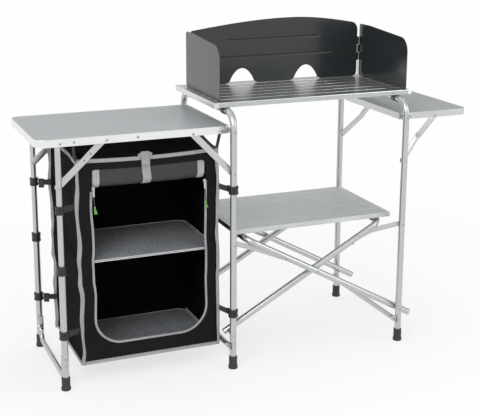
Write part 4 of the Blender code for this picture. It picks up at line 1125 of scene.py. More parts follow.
braces = {"half": 0.0095, "thick": 0.0020}
barThick = braces["thick"]
wingOuter = wing["halfY"] - bandThick - touch
wingInner = wingOuter - barThick - touch
tablePlane = table["halfY"] - bandThick - touch
kneeOuter = sideLeg["y"] - sideLeg["lower"] - touch
kneeInner = kneeOuter - barThick - touch
wingKnee, sideKnee = (0.642, 0.667), (-0.4205, 0.680)


def brace(name, start, end, plane, s, body, node, pins=(), heads=(), toLeg=None):
    made = flatBar(start, end, braces["half"], barThick, s * plane, s)
    extras = [pin(at(x, s * (plane - 0.001), z), at(x, s * to, z), 0.0048) for (x, z), to in pins]
    if toLeg:
        joggled(made, start, end, s * (toLeg - plane), 0.003, math.dist(start, end) - 0.012)
        extras.append(rivet(at(start[0], s * (toLeg - barThick), start[1]), (0, -s, 0)))
    made.data.materials.append(barSilver)
    for x, z in heads:
        extras.append(rivet(at(x, s * (plane - 0.0001), z), (0, s, 0), 0.85))
    painted(rivetSilverShaded, extras)
    return finished(together(made, *extras), name, barSilver, body, "aluminium", node)


legInner = legY - stand["radius"] - touch
for end, s in (("Front", -1), ("Rear", 1)):
    low = end.lower()
    brace("wingUpperBrace" + end, (0.695, 0.7253), wingKnee, wingOuter, s, "wing_upper_braces",
          "wing_upper_brace_" + low, heads=(wingKnee,))
    brace("wingLowerBrace" + end, (rightX, 0.595), wingKnee, wingInner, s, "wing_lower_braces",
          "wing_lower_brace_" + low,
          toLeg=legInner)
    brace("standBrace" + end, (0, 0.608), (-0.112, 0.7273), tablePlane, s, "stand", "stand_brace_" + low,
          heads=((-0.054, 0.6655), (-0.066, 0.6783)), toLeg=legInner)
    brace("sideLowerBrace" + end, (sideLeg["x"], 0.6035), sideKnee, kneeOuter, s, "side_lower_braces",
          "side_lower_brace_" + low,
          heads=((-0.4280, 0.6732),))
    brace("sideUpperBrace" + end, (-0.367, 0.730), sideKnee, kneeInner, s, "side_upper_braces",
          "side_upper_brace_" + low,
          pins=(((-0.367, 0.730), tablePlane),), heads=((-0.4085, 0.6912),))
print("braces made")


# Side legs

collar = [(0.0103, 0.350), (0.0138, 0.350), (0.0140, 0.3512), (0.0140, 0.3548), (0.0132, 0.3556),
          (0.0132, 0.3690),
          (0.0140, 0.3700), (0.0140, 0.3748), (0.0136, 0.3760), (0.0088, 0.3760), (0.0087, 0.3735)]
for end, s in (("Front", -1), ("Rear", 1)):
    low, x, y = end.lower(), sideLeg["x"], s * sideLeg["y"]
    tube = bendTube([at(x, y, sideLeg["upperBottom"]), at(x, y, sideLeg["upperTop"])], sideLeg["upper"])
    tube.data.materials.append(tubeSilver)
    extras = [pin(at(x, s * (sideLeg["y"] + 0.006), sideLeg["pivotZ"]),
                  at(x, s * tablePlane, sideLeg["pivotZ"]), 0.0038)]
    for z in sideLeg["rivets"]:
        extras.append(rivet(at(x, s * (sideLeg["y"] + sideLeg["upper"] - 0.0004), z), (0, s, 0), 0.8))
    painted(rivetSilverShaded, extras)
    finished(together(tube, *extras), "upperLeg" + end, tubeSilver, "side_legs", "aluminium",
             "upper_leg_" + low)
    tube = bendTube([at(x, y, stand["bottomZ"]), at(x, y, sideLeg["lowerTop"])], sideLeg["lower"])
    tube.data.materials.append(tubeSilver)
    extras = [rivet(at(x, s * (sideLeg["y"] + sideLeg["lower"] - 0.0004), z), (0, s, 0), 0.75)
              for z in sideLeg["stretcherRivets"]]
    painted(rivetSilverShaded, extras)
    finished(together(tube, *extras), "lowerLeg" + end, tubeSilver, "lower_legs", "aluminium",
             "lower_leg_" + low)
    ring = domed([(radius, z) for radius, z in collar], 36)
    ring.data.transform(Matrix.Translation(at(x, y, 0)))
    finished(ring, "legCollar" + end, clipBlack, "lower_legs", "plastic", "leg_collar_" + low)

yoke = {"radius": 0.0075, "z": 0.030, "bend": 0.025, "armY": 0.149, "top": 0.104, "flatBottom": 0.078,
        "flatHalf": 0.0015, "flatSpread": 0.0095}
flatY = sideLeg["y"] - sideLeg["lower"] - touch - yoke["flatHalf"]
step = [(yoke["flatBottom"] - 0.002 * i) for i in range(9)]


def armY(z):
    share = min(max((yoke["flatBottom"] - z) / 0.016, 0), 1)
    return flatY + (yoke["armY"] - flatY) * share * share * (3 - 2 * share)


arm = [(yoke["armY"], z) for z in [yoke["top"], yoke["top"] - 0.004, *step]]
corners = [at(sideLeg["x"], -y, z) for y, z in arm] + [at(sideLeg["x"], -yoke["armY"], yoke["z"]),
                                                       at(sideLeg["x"], yoke["armY"], yoke["z"])]
corners += [at(sideLeg["x"], y, z) for y, z in arm[::-1]]
tube = bendTube(corners, yoke["radius"], yoke["bend"])
for vertex in tube.data.vertices:
    z, s = vertex.co.z, math.copysign(1, vertex.co.y)
    if z > yoke["flatBottom"] - 0.0165:
        share = 1 - min(max((yoke["flatBottom"] - z) / 0.016, 0), 1)
        share = share * share * (3 - 2 * share)
        offsetY, offsetX = vertex.co.y - s * yoke["armY"], vertex.co.x - at(sideLeg["x"], 0, 0).x
        vertex.co.y = s * armY(z) + offsetY * (1 + share * (yoke["flatHalf"] / yoke["radius"] - 1))
        vertex.co.x += offsetX * share * (yoke["flatSpread"] / yoke["radius"] - 1)
finished(outward(tube), "sideStretcher", tubeSilver, "lower_legs", "aluminium", "side_leg_stretcher")
print("side legs made")


# Clips that hold the cupboard to the legs

clip = {"height": 0.024, "wall": 0.0042, "knob": 0.005}


def legClip(x, y, z, legRadius, s):
    inner, outer = legRadius + touch, legRadius + touch + clip["wall"]
    top = z + clip["height"]
    ring = domed([(inner, z), (outer - 0.0008, z), (outer, z + 0.0010), (outer, z + 0.0060),
                  (outer - 0.0009, z + 0.0070),
                  (outer - 0.0009, top - 0.0070), (outer, top - 0.0060), (outer, top - 0.0010),
                  (outer - 0.0008, top),
                  (inner, top), (inner, top - 0.002)], 32)
    ring.data.transform(Matrix.Translation(at(x, y, 0)))
    middle, face = z + clip["height"] / 2, y + s * (outer - 0.001)
    hook = plate([at(x - 0.0042, face, middle - 0.0066), at(x + 0.0042, face, middle - 0.0066),
                  at(x + 0.0036, face, middle + 0.0066),
                  at(x - 0.0036, face, middle + 0.0066)], (0.002,) * 4, (0, s * (clip["knob"] - 0.0005), 0),
                 0.0007)
    return together(ring, hook)


for name, x, y, z, radius, body, node in (
        ("sideClipUpper", sideLeg["x"], sideLeg["y"], 0.528, sideLeg["upper"], "side_clips",
         "side_clip_upper_"),
        ("sideClipLower", sideLeg["x"], sideLeg["y"], 0.156, sideLeg["lower"], "lower_legs",
         "side_clip_lower_"),
        ("standClipUpper", leftX, legY, 0.547, stand["radius"], "stand", "stand_clip_upper_"),
        ("standClipLower", leftX, legY, 0.165, stand["radius"], "stand", "stand_clip_lower_")):
    for end, s in (("Front", -1), ("Rear", 1)):
        finished(legClip(x, s * y, z, radius, s), name + end, clipBlack, body, "plastic", node + end.lower())
print("clips made")


# Soft cupboard

cupboard = {"left": -0.451, "right": -0.025, "front": -0.152, "rear": 0.148, "bottom": 0.0605, "top": 0.675,
            "cloth": 0.0013,
            "sag": 0.007, "doorLeft": -0.407, "doorRight": -0.065, "doorBottom": 0.115, "doorTop": 0.645,
            "lowRound": 0.080,
            "highRound": 0.012, "proud": 0.001}
strapHeights = {"left": (0.540, 0.168), "right": (0.559, 0.177)}
propHeights = ((0.370, 0.022), (0.340, 0.022), (0.311, 0.022), (0.069, 0.022))


def wave(x, y, z, seed=0.0):
    return noise.noise(Vector((x + seed, y - seed, z + 2 * seed)))


def propped(z):
    # where the boards hold the cloth out, standing or folded up
    return min(sum(math.exp(-((z - height) / spread) ** 2) for height, spread in propHeights), 1)


def pull(z, side):
    # the straps to the legs draw the edges outwards, and between them the cloth hangs in
    out = sum(math.exp(-((z - height) / 0.055) ** 2) for height in strapHeights[side])
    return max(out * 0.0045, 0.0042 * propped(z)) - 0.0022


def edgeX(z, side):
    rise = (z - 0.37) / 0.31
    if side == "left":
        return cupboard["left"] - 0.004 * rise - pull(z, side) + 0.0022 * wave(z * 14, 1.3, 0.2) - 0.0006
    return cupboard["right"] - 0.001 * rise + pull(z, side) * 0.7 + 0.0018 * wave(z * 14, 4.1, 0.8) + 0.0006


def topZ(x):
    share = (x - cupboard["left"]) / (cupboard["right"] - cupboard["left"])
    return cupboard["top"] - cupboard["sag"] * math.sin(math.pi * min(max(share, 0), 1)) ** 0.8


def lift(u):
    # how far the left side's top edge is drawn up towards the table between its corners
    near, far = min(4 * u, 1), min(4 * (1 - u), 1)
    return 0.010 * near * near * (3 - 2 * near) * far * far * (3 - 2 * far)


def clothPoint(x, z):
    # a point on the front's plane, fitted to its drawn-in edges and sagging top
    share = (x - cupboard["left"]) / (cupboard["right"] - cupboard["left"])
    left, right = edgeX(z, "left") - cupboard["left"], edgeX(z, "right") - cupboard["right"]
    rise = (z - cupboard["bottom"]) / (cupboard["top"] - cupboard["bottom"])
    return x + left * (1 - share) ** 2 + right * share ** 2, z + (topZ(x) - cupboard["top"]) * rise ** 4


def roundedLoop(x0, x1, z0, z1, low, high, steps):
    # points of the door's outline, with each corner's arc in its own steps, from the middle of its top edge
    loop = []
    middle = (x0 + x1) / 2
    spans = [((middle, z1), (x0 + high, z1)), None, ((x0, z1 - high), (x0, z0 + low)), None,
             ((x0 + low, z0), (x1 - low, z0)), None, ((x1, z0 + low), (x1, z1 - high)), None,
             ((x1 - high, z1), (middle, z1))]
    arcs = {1: ((x0 + high, z1 - high), high, 90), 3: ((x0 + low, z0 + low), low, 180),
            5: ((x1 - low, z0 + low), low, 270), 7: ((x1 - high, z1 - high), high, 0)}
    for i, count in enumerate(steps):
        for k in range(count):
            t = k / count
            if i in arcs:
                (cx, cz), radius, start = arcs[i]
                a = math.radians(start + 90 * t)
                loop.append((cx + radius * math.cos(a), cz + radius * math.sin(a)))
            else:
                (xa, za), (xb, zb) = spans[i]
                loop.append((xa + (xb - xa) * t, za + (zb - za) * t))
    return loop + [loop[0]]


loopSteps = (12, 6, 34, 14, 20, 14, 34, 6, 12)
innerLoop = roundedLoop(cupboard["doorLeft"], cupboard["doorRight"], cupboard["doorBottom"],
                        cupboard["doorTop"],
                        cupboard["lowRound"], cupboard["highRound"], loopSteps)
# the outer outline's points lie across from the door's, so that the cloth between them runs evenly
outerLoop = []
for x, z in innerLoop:
    low = cupboard["doorBottom"] + cupboard["lowRound"]
    sideways = min(x - cupboard["doorLeft"], cupboard["doorRight"] - x)
    if z >= cupboard["doorTop"] - cupboard["highRound"] and sideways > 1e-6:
        outerLoop.append((x, cupboard["top"]))
    elif z > low:
        outerLoop.append((cupboard["left"] if x < -0.2 else cupboard["right"], z))
    else:
        a = math.atan2(low - z, max(cupboard["lowRound"] - sideways,
                                    0)) if sideways < cupboard["lowRound"] else math.pi / 2
        edge = cupboard["left"] if x < -0.2 else cupboard["right"]
        if a < math.pi / 4:
            outerLoop.append((edge, low - (low - cupboard["bottom"]) * math.tan(a)))
        elif sideways < cupboard["lowRound"]:
            inset = (cupboard["lowRound"] + abs(edge - (cupboard["doorLeft"]
                    if x < -0.2 else cupboard["doorRight"]))) * (1 - math.tan(math.pi / 2 - a))
            outerLoop.append((edge + math.copysign(inset, -0.236 - edge), cupboard["bottom"]))
        else:
            outerLoop.append((x, cupboard["bottom"]))
count = len(innerLoop) - 1


def frontPoint(u, v):
    i = round(u * count)
    (xa, za), (xb, zb) = innerLoop[i], outerLoop[i]
    x, z = xa + (xb - xa) * v, za + (zb - za) * v
    fitX, fitZ = clothPoint(x, z)
    gap = math.dist(innerLoop[i], outerLoop[i])
    inner, outer = min(v * gap / 0.012, 1), min(max(((1 - v) * gap - 0.008) / 0.020, 0), 1)
    still = inner * outer * outer * (3 - 2 * outer)
    ripple = 0.0040 * wave(x * 9, z * 5, 0.1) + 0.0028 * wave(x * 26, z * 12,
            3.0) + 0.0016 * wave((x + z) * 40, (x - z) * 10, 7.0)
    return at(fitX, cupboard["front"] - cupboard["proud"] + ripple * still * (1 - 0.8 * propped(z)), fitZ)


def hung(piece, name, finish, stoodFor=(),
         thick=None):
    modify(piece, "SOLIDIFY", thickness=thick or cupboard["cloth"], offset=0)
    outward(piece, 60)
    piece.data.materials.append(finish)
    finished(piece, name, finish, "stand", "cloth", *stoodFor, soft=True)
    return piece


front = shapedGrid(count, 12, frontPoint, (1, 1), True)
width, height = cupboard["right"] - cupboard["left"], cupboard["top"] - cupboard["bottom"]
# woven finish needs an even map, so the front's is its own plane
for loop in front.data.loops:
    co = front.data.vertices[loop.vertex_index].co
    front.data.uv_layers.active.data[loop.index].uv = (co.x, co.z)
hung(front, "cupboardFront", frontBlack, ("cupboard_shell",))

depth = cupboard["rear"] - cupboard["front"]
for side in ("left", "right"):
    out = -1 if side == "left" else 1

    def sidePoint(u, v):
        y = cupboard["front"] + depth * u
        z = cupboard["bottom"] + height * v
        x = edgeX(z, side)
        still = math.sin(math.pi * u) ** 0.6 * min(1, 8 * v * (1 - v) + 0.2)
        ripple = 0.0035 * wave(y * 7, z * 4, 5 + out) + 0.0020 * wave(y * 24, z * 9, 9 + out) - 0.0030
        ripple = ripple * (1 - propped(z)) + 0.0004 * propped(z)
        top = (topZ(cupboard["left"] if side == "left" else cupboard["right"]) - cupboard["top"]) * v ** 4
        top += lift(u) * v ** 6 if side == "left" else 0
        return at(x + out * ripple * still, y, z + top - 0.004 * v ** 6 * math.sin(math.pi * u))

    hung(shapedGrid(44, 90, sidePoint, (depth, height)), side + "Side", sideBlack)


def rearPoint(u, v):
    x, z = cupboard["left"] + width * u, cupboard["bottom"] + height * v
    fitX, fitZ = clothPoint(x, z)
    ripple = 0.0035 * wave(x * 6, z * 4, 15) + 0.0016 * wave(x * 22, z * 9, 19) - 0.0015
    ripple = ripple * (1 - propped(z)) + 0.0004 * propped(z)
    return at(fitX, cupboard["rear"] + ripple * math.sin(math.pi * u) ** 0.6 * min(1, 8 * v * (1 - v) + 0.1),
              fitZ)


hung(shapedGrid(60, 90, rearPoint, (width, height)), "rearPanel", sideBlack)


def lidPoint(u, v):
    x, y = cupboard["left"] + width * u, cupboard["front"] + depth * v
    fitX, fitZ = clothPoint(x, cupboard["top"])
    droop = 0.010 * math.sin(math.pi * u) * math.sin(math.pi * v)
    droop -= lift(v) * (1 - u) ** 5
    return at(fitX, y, fitZ - droop - 0.004 * math.sin(math.pi * v) + 0.0015 * wave(x * 12, y * 12,
            23) * math.sin(math.pi * v))


def basePoint(u, v):
    x, y = cupboard["left"] + width * u, cupboard["front"] + depth * v
    fitX, fitZ = clothPoint(x, cupboard["bottom"])
    return at(fitX, y, fitZ + 0.0004 * wave(x * 14, y * 14, 27))


# the lid takes the darker copy of the front cloth: painted shade
hung(shapedGrid(50, 36, lidPoint, (width, depth)), "lid", lidBlackShaded)
hung(shapedGrid(50, 36, basePoint, (width, depth)), "base", sideBlack)
print("cupboard cloth made")


# Bindings along the cupboard's edges

binding = {"wide": 0.0105, "thick": 0.0022}
heights = [cupboard["bottom"] + height * i / 40 for i in range(41)]


def cornerLine(side, y):
    x = cupboard["left"] if side == "left" else cupboard["right"]
    points = []
    for z in heights:
        fitX, fitZ = clothPoint(x, z)
        points.append(at(fitX, y, fitZ))
    return points


def bind(name, path, wide, steps=80, width=None, crown=0.0012):
    tape = ribbon(path, wide, width or binding["wide"], binding["thick"], steps, 6, crown)
    tape.data.materials.append(bindingGrey)
    return finished(tape, name, bindingGrey, "stand", "webbing", soft=True)


rows = [cupboard["left"] + width * i / 40 for i in range(41)]
frontLine = [at(*[clothPoint(x, cupboard["top"])[0], cupboard["front"] - 0.0015,
                  clothPoint(x, cupboard["top"])[1]]) for x in rows]
rearLine = [Vector((p.x, cupboard["rear"] + 0.0012, p.z)) for p in frontLine]
lowFront = [at(clothPoint(x, cupboard["bottom"])[0], cupboard["front"] - 0.0015, cupboard["bottom"])
            for x in rows]
lowRear = [Vector((p.x, cupboard["rear"] + 0.0012, p.z)) for p in lowFront]
inward = 0.0035
for side, sign in (("left", 1), ("right", -1)):
    line = cornerLine(side, cupboard["front"] - 0.0030)
    seed = 3.3 if side == "left" else 8.8
    twist = [0.30 * wave(i * 0.21, seed, 0.5) for i in range(81)]
    bind(side + "FrontBinding",
         [p + Vector((sign * inward + 0.0022 * wave(p.z * 21, seed, 1.7), 0, 0)) for p in line],
         lambda share: (-sign, 0.30 + twist[round(share * 80)], 0),
         width=lambda share: binding["wide"] * (0.92 + 0.5 * wave(share * 9, seed, 2.2) + 0.35 * share ** 12))
    line = cornerLine(side, cupboard["rear"] + 0.0004)
    breadths = [binding["wide"] * (1 + 0.45 * wave(p.z * 24, seed, 6.1)) for p in line]
    slant = Vector((-sign, 0.7, 0)).normalized()
    bind(side + "RearBinding", [p + slant * (breadth / 2 + 0.0004) for p, breadth in zip(line, breadths)],
         lambda share: slant, width=lambda share: breadths[round(share * 40)])
    edge = at(edgeX(cupboard["bottom"], side), 0, 0).x
    depths = [cupboard["front"] + depth * i / 20 for i in range(21)]
    bind(side + "BottomBinding", [Vector((edge - sign * 0.001, y, cupboard["bottom"] + 0.0030))
                                  for y in depths], lambda share: (0, 0, 1), 40)
    bind(side + "TopBinding", [Vector((frontLine[0 if side == "left" else -1].x - sign * 0.001, y,
                                       frontLine[0].z - 0.003 - 0.004 * math.sin(math.pi * i / 20)
                                       + (lift(i / 20) if sign > 0 else 0)))
                               for i, y in enumerate(depths)], lambda share: (0, 0, 1), 40)
bind("topFrontBinding", [p + Vector((0, -0.0006, -0.0032)) for p in frontLine], lambda share: (0, 0.12, 1),
     80)
bind("topRearBinding", [p + Vector((0, 0.0006, -0.0032)) for p in rearLine], lambda share: (0, 0.12, 1), 80)
bind("bottomFrontBinding", [p + Vector((0, -0.0006, 0.0030)) for p in lowFront], lambda share: (0, 0.12, 1),
     80)
bind("bottomRearBinding", [p + Vector((0, 0.0006, 0.0030)) for p in lowRear], lambda share: (0, 0.12, 1), 80)
print("bindings made")


# Zip round the doorway

zipShape = {"wide": 0.0064, "thick": 0.0018, "proud": 0.0022}
lower = [(x, z) for x, z in innerLoop if z < (0.592 if x < -0.2 else 0.584)]
lower = [at(*(clothPoint(x, z)[0], cupboard["front"] - zipShape["proud"], clothPoint(x, z)[1])) for x,
         z in lower]
evenLower = evenly(lower, 200)


def zipWide(share):
    i = min(max(round(share * 200), 1), 199)
    ahead = evenLower[i + 1] - evenLower[i - 1]
    return ahead.cross(Vector((0, 1, 0)))


zipTape = ribbon(lower, zipWide, zipShape["wide"], zipShape["thick"], 200, 6, 0.0007)
zipTape.data.materials.append(zipGrey)
finished(zipTape, "doorZip", zipGrey, "stand", "webbing", soft=True)
print("zip made")


# Boards in the cupboard

boards = {"inset": 0.0028, "thick": 0.0040, "rearRound": 0.034, "frontRound": 0.006}
for name, top, body, node in (("middleBoard", 0.372, "middle_board", "cupboard_middle_board"),
                              ("bottomBoard", 0.0663, "bottom_board", "cupboard_bottom_board")):
    x0, x1 = cupboard["left"] + boards["inset"], cupboard["right"] - boards["inset"]
    y0, y1 = cupboard["front"] + boards["inset"], cupboard["rear"] - boards["inset"]
    corners = [at(x0, y0, top), at(x1, y0, top), at(x1, y1, top), at(x0, y1, top)]
    rounds = (boards["frontRound"], boards["frontRound"], boards["rearRound"], boards["rearRound"])
    board = plate(corners, rounds, (0, 0, -boards["thick"]), 0.0012)
    board.data.materials.append(boardCloth)
    # its bound edge is the same outline, drawn round as a tape
    outline = plate(corners, rounds, (0, 0, 0), 0)
    ordered = [outline.data.vertices[i].co.copy() for i in outline.data.polygons[0].vertices]
    bpy.data.objects.remove(outline)
    ordered.append(ordered[0])
    low = top - boards["thick"] / 2 if name == "middleBoard" else top - 0.0018
    ring = evenly([Vector((p.x, p.y, low)) for p in ordered], 240)
    tape = ribbon(ring, lambda share: (0, 0, 1), boards["thick"] + 0.0018, 0.0016, 240, 6, 0.0012, True)
    # the lighter binding copy: painted light
    tape.data.materials.append(boardBindingLit)
    finished(together(board, tape), name, boardCloth, body, "boardcloth", node)
print("boards made")


# Rolled-up door

roll = {"left": -0.402, "right": -0.070, "y": -0.1268, "z": 0.610, "inner": 0.0048, "outer": 0.0236,
        "turns": 6, "steps": 150,
        "cloth": 0.0011, "bandWide": 0.0200, "bandThick": 0.0028}
rollLength = (math.pi * (roll["outer"] ** 2 - roll["inner"] ** 2)
              / ((roll["outer"] - roll["inner"]) / roll["turns"]))
hang = cupboard["doorTop"] - roll["z"]
rollWidth = roll["right"] - roll["left"]


def rollPoint(u, v):
    x = roll["left"] + rollWidth * u
    if v > 0.92:
        share = (v - 0.92) / 0.08
        z = roll["z"] + hang * share
        y = roll["y"] - roll["outer"] + 0.0005 * share
        return at(x, y + 0.0012 * wave(x * 20, share, 1.0) * (1 - share), z)
    share = v / 0.92
    angle = math.pi + 2 * math.pi * roll["turns"] * (1 - share)
    radius = roll["inner"] + (roll["outer"] - roll["inner"]) * share
    soft = 1 + 0.065 * share * wave(x * 9, math.cos(angle) * 1.2, math.sin(angle) * 1.2)
    soft += 0.045 * share * math.exp(-((x + 0.2465) / 0.05) ** 2) * wave(x * 60, math.cos(angle) * 2.2,
                                                                         math.sin(angle) * 2.2)
    belly = 0.0016 * math.sin(math.pi * u) * share
    tiePinch = 1 - 0.10 * share * math.exp(-((x + 0.2465) / 0.022) ** 2)
    radius = radius * soft * tiePinch
    return at(x, roll["y"] + radius * math.cos(angle), roll["z"] + radius * math.sin(angle) * 1.02 - belly)


rolled = shapedGrid(132, roll["steps"] + 12, rollPoint, (rollWidth, rollLength + hang))
modify(rolled, "SOLIDIFY", thickness=roll["cloth"], offset=0)
outward(rolled, 60)
rolled.data.materials.append(rollGrey)


for side, start in (("Left", -0.0050), ("Right", 1.0050 - roll["bandWide"] / rollWidth)):
    band = shapedGrid(20, roll["steps"] + 12, lambda u,
                      v: rollPoint(start + u * roll["bandWide"] / rollWidth, v) + Vector(
        (0, -0.0009 * abs(math.sin(2.5 * math.pi * u)) - 0.0006 * abs(wave(u * 3, v * 60, 2.2)), 0)),
                      (roll["bandWide"], rollLength + hang))
    modify(band, "SOLIDIFY", thickness=roll["bandThick"], offset=0)
    outward(band, 60)
    band.data.materials.append(bandEnd)
    finished(band, "rollBand" + side, bandEnd, "door_roll", "webbing")
finished(rolled, "rolledDoor", rollGrey, "door_roll", "cloth", "rolled_door")

tie = {"left": -0.260, "right": -0.233, "thick": 0.0012, "proud": 0.0022, "start": 180, "end": 472,
       "top": 0.684}
reach = roll["outer"] * 0.93 + tie["proud"]
tiePath = [at(-0.2500, cupboard["front"] - 0.0050, tie["top"]),
           at(-0.2490, cupboard["front"] - 0.0066, 0.664),
           at(-0.2480, cupboard["front"] - 0.0062, 0.648), at(-0.2470, roll["y"] - reach - 0.0030, 0.636)]
for i in range(1, 30):
    angle = math.radians(tie["start"] + (tie["end"] - tie["start"]) * i / 29)
    tiePath.append(at(-0.2440 - 0.0020 * math.cos(angle), roll["y"] + reach * math.cos(angle),
                      roll["z"] - 0.0015 + reach * math.sin(angle)))
strap = ribbon(softened(tiePath, 1), lambda share: (1, 0, 0), tie["right"] - tie["left"] - 0.002,
               tie["thick"], 70, 6)
strap.data.materials.append(tieGrey)
front = cupboard["front"] - 0.0044
patch = ribbon([at(-0.271, front - 0.0006, 0.6725), at(-0.229, front - 0.0006, 0.6735)],
               lambda share: (0, 0, -1), 0.0125, 0.0012,
               24, 6, 0.0004)
seam = ribbon([at(-0.260, front - 0.0030, 0.6425), at(-0.236, front - 0.0030, 0.6425)],
              lambda share: (0, 0.1, 1), 0.0030, 0.0010, 12, 4, 0.0005)
painted(tieGrey, (patch, seam))
finished(together(strap, patch, seam), "doorTie", tieGrey, "door_roll", "webbing", "door_tie")
print("rolled door made")


# Zip sliders, each with its pull, a cord and a tab

sliderSize = {"half": 0.0044, "foot": 0.0036, "tall": 0.012, "thick": 0.0026, "pullHalf": 0.0028,
              "pullTop": 0.010, "pullEnd": 0.030,
              "pullThick": 0.0012, "cord": 0.0022, "cordTop": 0.029, "points": 16}
sliders = {"left": {"x": -0.4035, "top": 0.594, "tabX": -0.4010, "tabTop": 0.5340, "tabBottom": 0.5140},
           "right": {"x": -0.0690, "top": 0.586, "tabX": -0.0655, "tabTop": 0.5150, "tabBottom": 0.4990}}
sliderY = cupboard["front"] - 0.0048
pullY = sliderY - 0.0024


def pullTab(x, top, bottom):
    # a knot with two short tails
    tails = []
    for sway in (-1, 1):
        tail = [at(x, pullY, top), at(x + sway * 0.0006, pullY - 0.0002, top - 0.006),
                at(x + 0.0018 + sway * 0.0018, pullY - 0.0006, top - 0.013),
                at(x + 0.0030 + sway * 0.0028, pullY - 0.0002, bottom)]
        tails.append(ribbon(softened(tail, 2), lambda share: (1, sway * 0.3, 0.1), 0.0040, 0.0012, 16, 4,
                            0.0006))
    knot = domed([(0.0012, -0.0036), (0.0022, -0.0030), (0.0026, -0.0012), (0.0024, 0.0012), (0.0016, 0.0034),
                  (0.0011, 0.0042)], 16)
    knot.data.transform(Matrix.Translation(at(x, pullY, top - 0.001)))
    return together(*tails, knot)


for side, slider in sliders.items():
    x, top, body = slider["x"], slider["top"], f"zip_{side}_slider"
    size = sliderSize
    case = plate([at(x - size["foot"], sliderY, top - size["tall"]),
                  at(x + size["foot"], sliderY, top - size["tall"]),
                  at(x + size["half"], sliderY, top - 0.003), at(x, sliderY, top + 0.0004),
                  at(x - size["half"], sliderY, top - 0.003)],
                 (0.002,) * 5, (0, size["thick"], 0), 0.0005)
    loop = bendTube([at(x, sliderY - 0.0008, top - 0.003), at(x, sliderY - 0.0026, top - 0.005),
                     at(x, sliderY - 0.0026, top - 0.011),
                     at(x, sliderY - 0.0008, top - 0.013)], 0.0010, 0.0015, sides=12, steps=4)
    tongue = plate([at(x - size["pullHalf"] * 0.85, sliderY - 0.0030, top - size["pullEnd"]),
                    at(x + size["pullHalf"] * 0.85, sliderY - 0.0030, top - size["pullEnd"]),
                    at(x + size["pullHalf"], sliderY - 0.0030, top - size["pullTop"]),
                    at(x - size["pullHalf"], sliderY - 0.0030, top - size["pullTop"])],
                   (0.0018,) * 4, (0, size["pullThick"], 0), 0.0003)
    finished(together(case, loop, tongue), f"{side}ZipSlider", sliderSilver, body, "green",
             "zip_slider_" + side)
    tab = finished(pullTab(slider["tabX"], slider["tabTop"], slider["tabBottom"]), f"{side}PullTab", tabGreen,
                   body, "green")
    route = []
    for i in range(size["points"]):
        t = i / (size["points"] - 1)
        route.append(at(x + (slider["tabX"] - x) * t, pullY + 0.0006 * math.sin(math.pi * t),
                        top - size["cordTop"] + (slider["tabTop"] - 0.002 - top + size["cordTop"]) * t))
    string = finished(bendTube(route, size["cord"] / 2, 0.002, sides=12), f"{side}PullCord", cordGrey, body,
                      "webbing")
    pathLength(route)
print("zip sliders made")


# Straps to the legs, and the webbing that hangs the cupboard

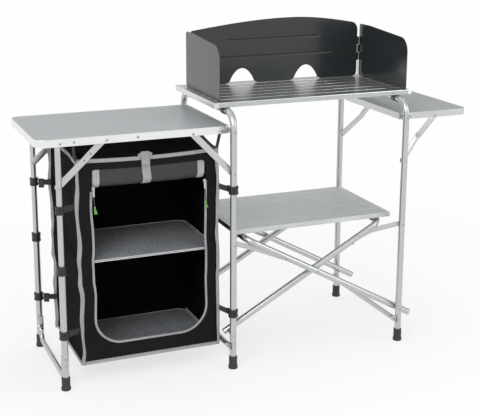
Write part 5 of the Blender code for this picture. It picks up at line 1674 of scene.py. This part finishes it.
straps = {"tall": 0.017, "thick": 0.0014, "buckleLong": 0.012, "buckleHalf": 0.0098, "rearBuckleLong": 0.018,
          "rearBuckleDrop": 0.019,
          "buckleThick": 0.0036}
for side, legX, sideLegY, heightsOfClips, radii in (("left", sideLeg["x"], sideLeg["y"], (0.540, 0.168),
                                                     (sideLeg["upper"], sideLeg["lower"])),
                                                    ("right", leftX, legY, (0.559, 0.177),
                                                     (stand["radius"], stand["radius"]))):
    for end, s in (("Front", -1), ("Rear", 1)):
        for level, z, radius in (("High", heightsOfClips[0], radii[0]), ("Low", heightsOfClips[1], radii[1])):
            corner = at(edgeX(z, side), cupboard["front"] + 0.004 if s < 0 else cupboard["rear"] - 0.004, z)
            ring = at(legX, s * sideLegY, z)
            ahead = (ring - corner).normalized()
            stop = ring - ahead * (radius + 0.0051)
            run = [corner - ahead * 0.002, corner.lerp(stop, 0.5) + Vector((0, 0, -0.0015)), stop]
            tape = ribbon(softened(run, 2), lambda share: (0, 0, 1), straps["tall"], straps["thick"], 24, 6)
            tape.data.materials.append(webbingBlack)
            if s < 0 or side == "left":
                # the rear ones on the left are longer, and their strap's end hangs below
                long, drop = (straps["rearBuckleLong"],
                              straps["rearBuckleDrop"]) if s > 0 else (straps["buckleLong"],
                                                                       straps["buckleHalf"])
                near, far, upwards, proud = stop - ahead * 0.001, stop - ahead * long, Vector((0, 0,
                        1)), ahead.cross(Vector((0, 0, 1)))
                buckle = plate([far + upwards * straps["buckleHalf"], near + upwards * straps["buckleHalf"],
                                near - upwards * drop, far - upwards * drop], (0.002,) * 4,
                               proud * straps["buckleThick"], 0.0006)
                buckle.data.transform(Matrix.Translation(proud * -straps["buckleThick"] / 2))
                buckle.data.materials.append(clipBlack)
                together(tape, buckle)
            finished(tape, f"{side}Strap{end}{level}", webbingBlack, "stand", "webbing", soft=True)

hangers = {"wide": 0.0095, "thick": 0.0014, "top": 0.7305}
for side, hangX, cornerX, finish in (("left", -0.462, cupboard["left"] + 0.006, webbingBlack),
                                     ("right", -0.028, cupboard["right"] - 0.006, webbingBlack)):
    for end, s in (("Front", -1), ("Rear", 1)):
        low = at(cornerX, (cupboard["front"] if s < 0 else cupboard["rear"]) - s * 0.001,
                 cupboard["top"] - 0.010)
        high = at(hangX, s * (table["halfY"] - 0.0032), hangers["top"])
        middle = low.lerp(high, 0.5) + Vector((-0.004 if side == "left" else 0, -s * 0.003, -0.007))
        tape = ribbon(softened([low, middle, high], 3),
                      lambda share: (0.8, 0, 0.6 if side == "left" else -0.3), hangers["wide"],
                      hangers["thick"], 24, 6)
        tape.data.materials.append(finish)
        if side == "left":
            x, y, z = middle.x - standLeft, middle.y, middle.z
            buckle = plate([at(x - 0.004, y, z - 0.005), at(x + 0.005, y, z - 0.005),
                            at(x + 0.005, y, z + 0.004), at(x - 0.004, y, z + 0.004)],
                           (0.0015,) * 4, (0, s * 0.0040, 0), 0.0005)
            buckle.data.materials.append(clipBlack)
            together(tape, buckle)
        finished(tape, f"{side}Hanger{end}", finish, "stand", "webbing", soft=True)
low = at(cupboard["right"] - 0.006, cupboard["front"] - 0.002, cupboard["top"] - 0.008)
high = at(-0.094, -0.1765, 0.728)
tape = ribbon(softened([low, low.lerp(high, 0.5) + Vector((0, 0, -0.003)), high], 3),
              lambda share: (0.55, 0, 1), 0.013, 0.0014, 24, 6)
tape.data.materials.append(webbingBlack)
finished(tape, "rightHangerStay", webbingBlack, "stand", "webbing", soft=True)
print("straps made")


bpy.data.objects.remove(rivetMaster)
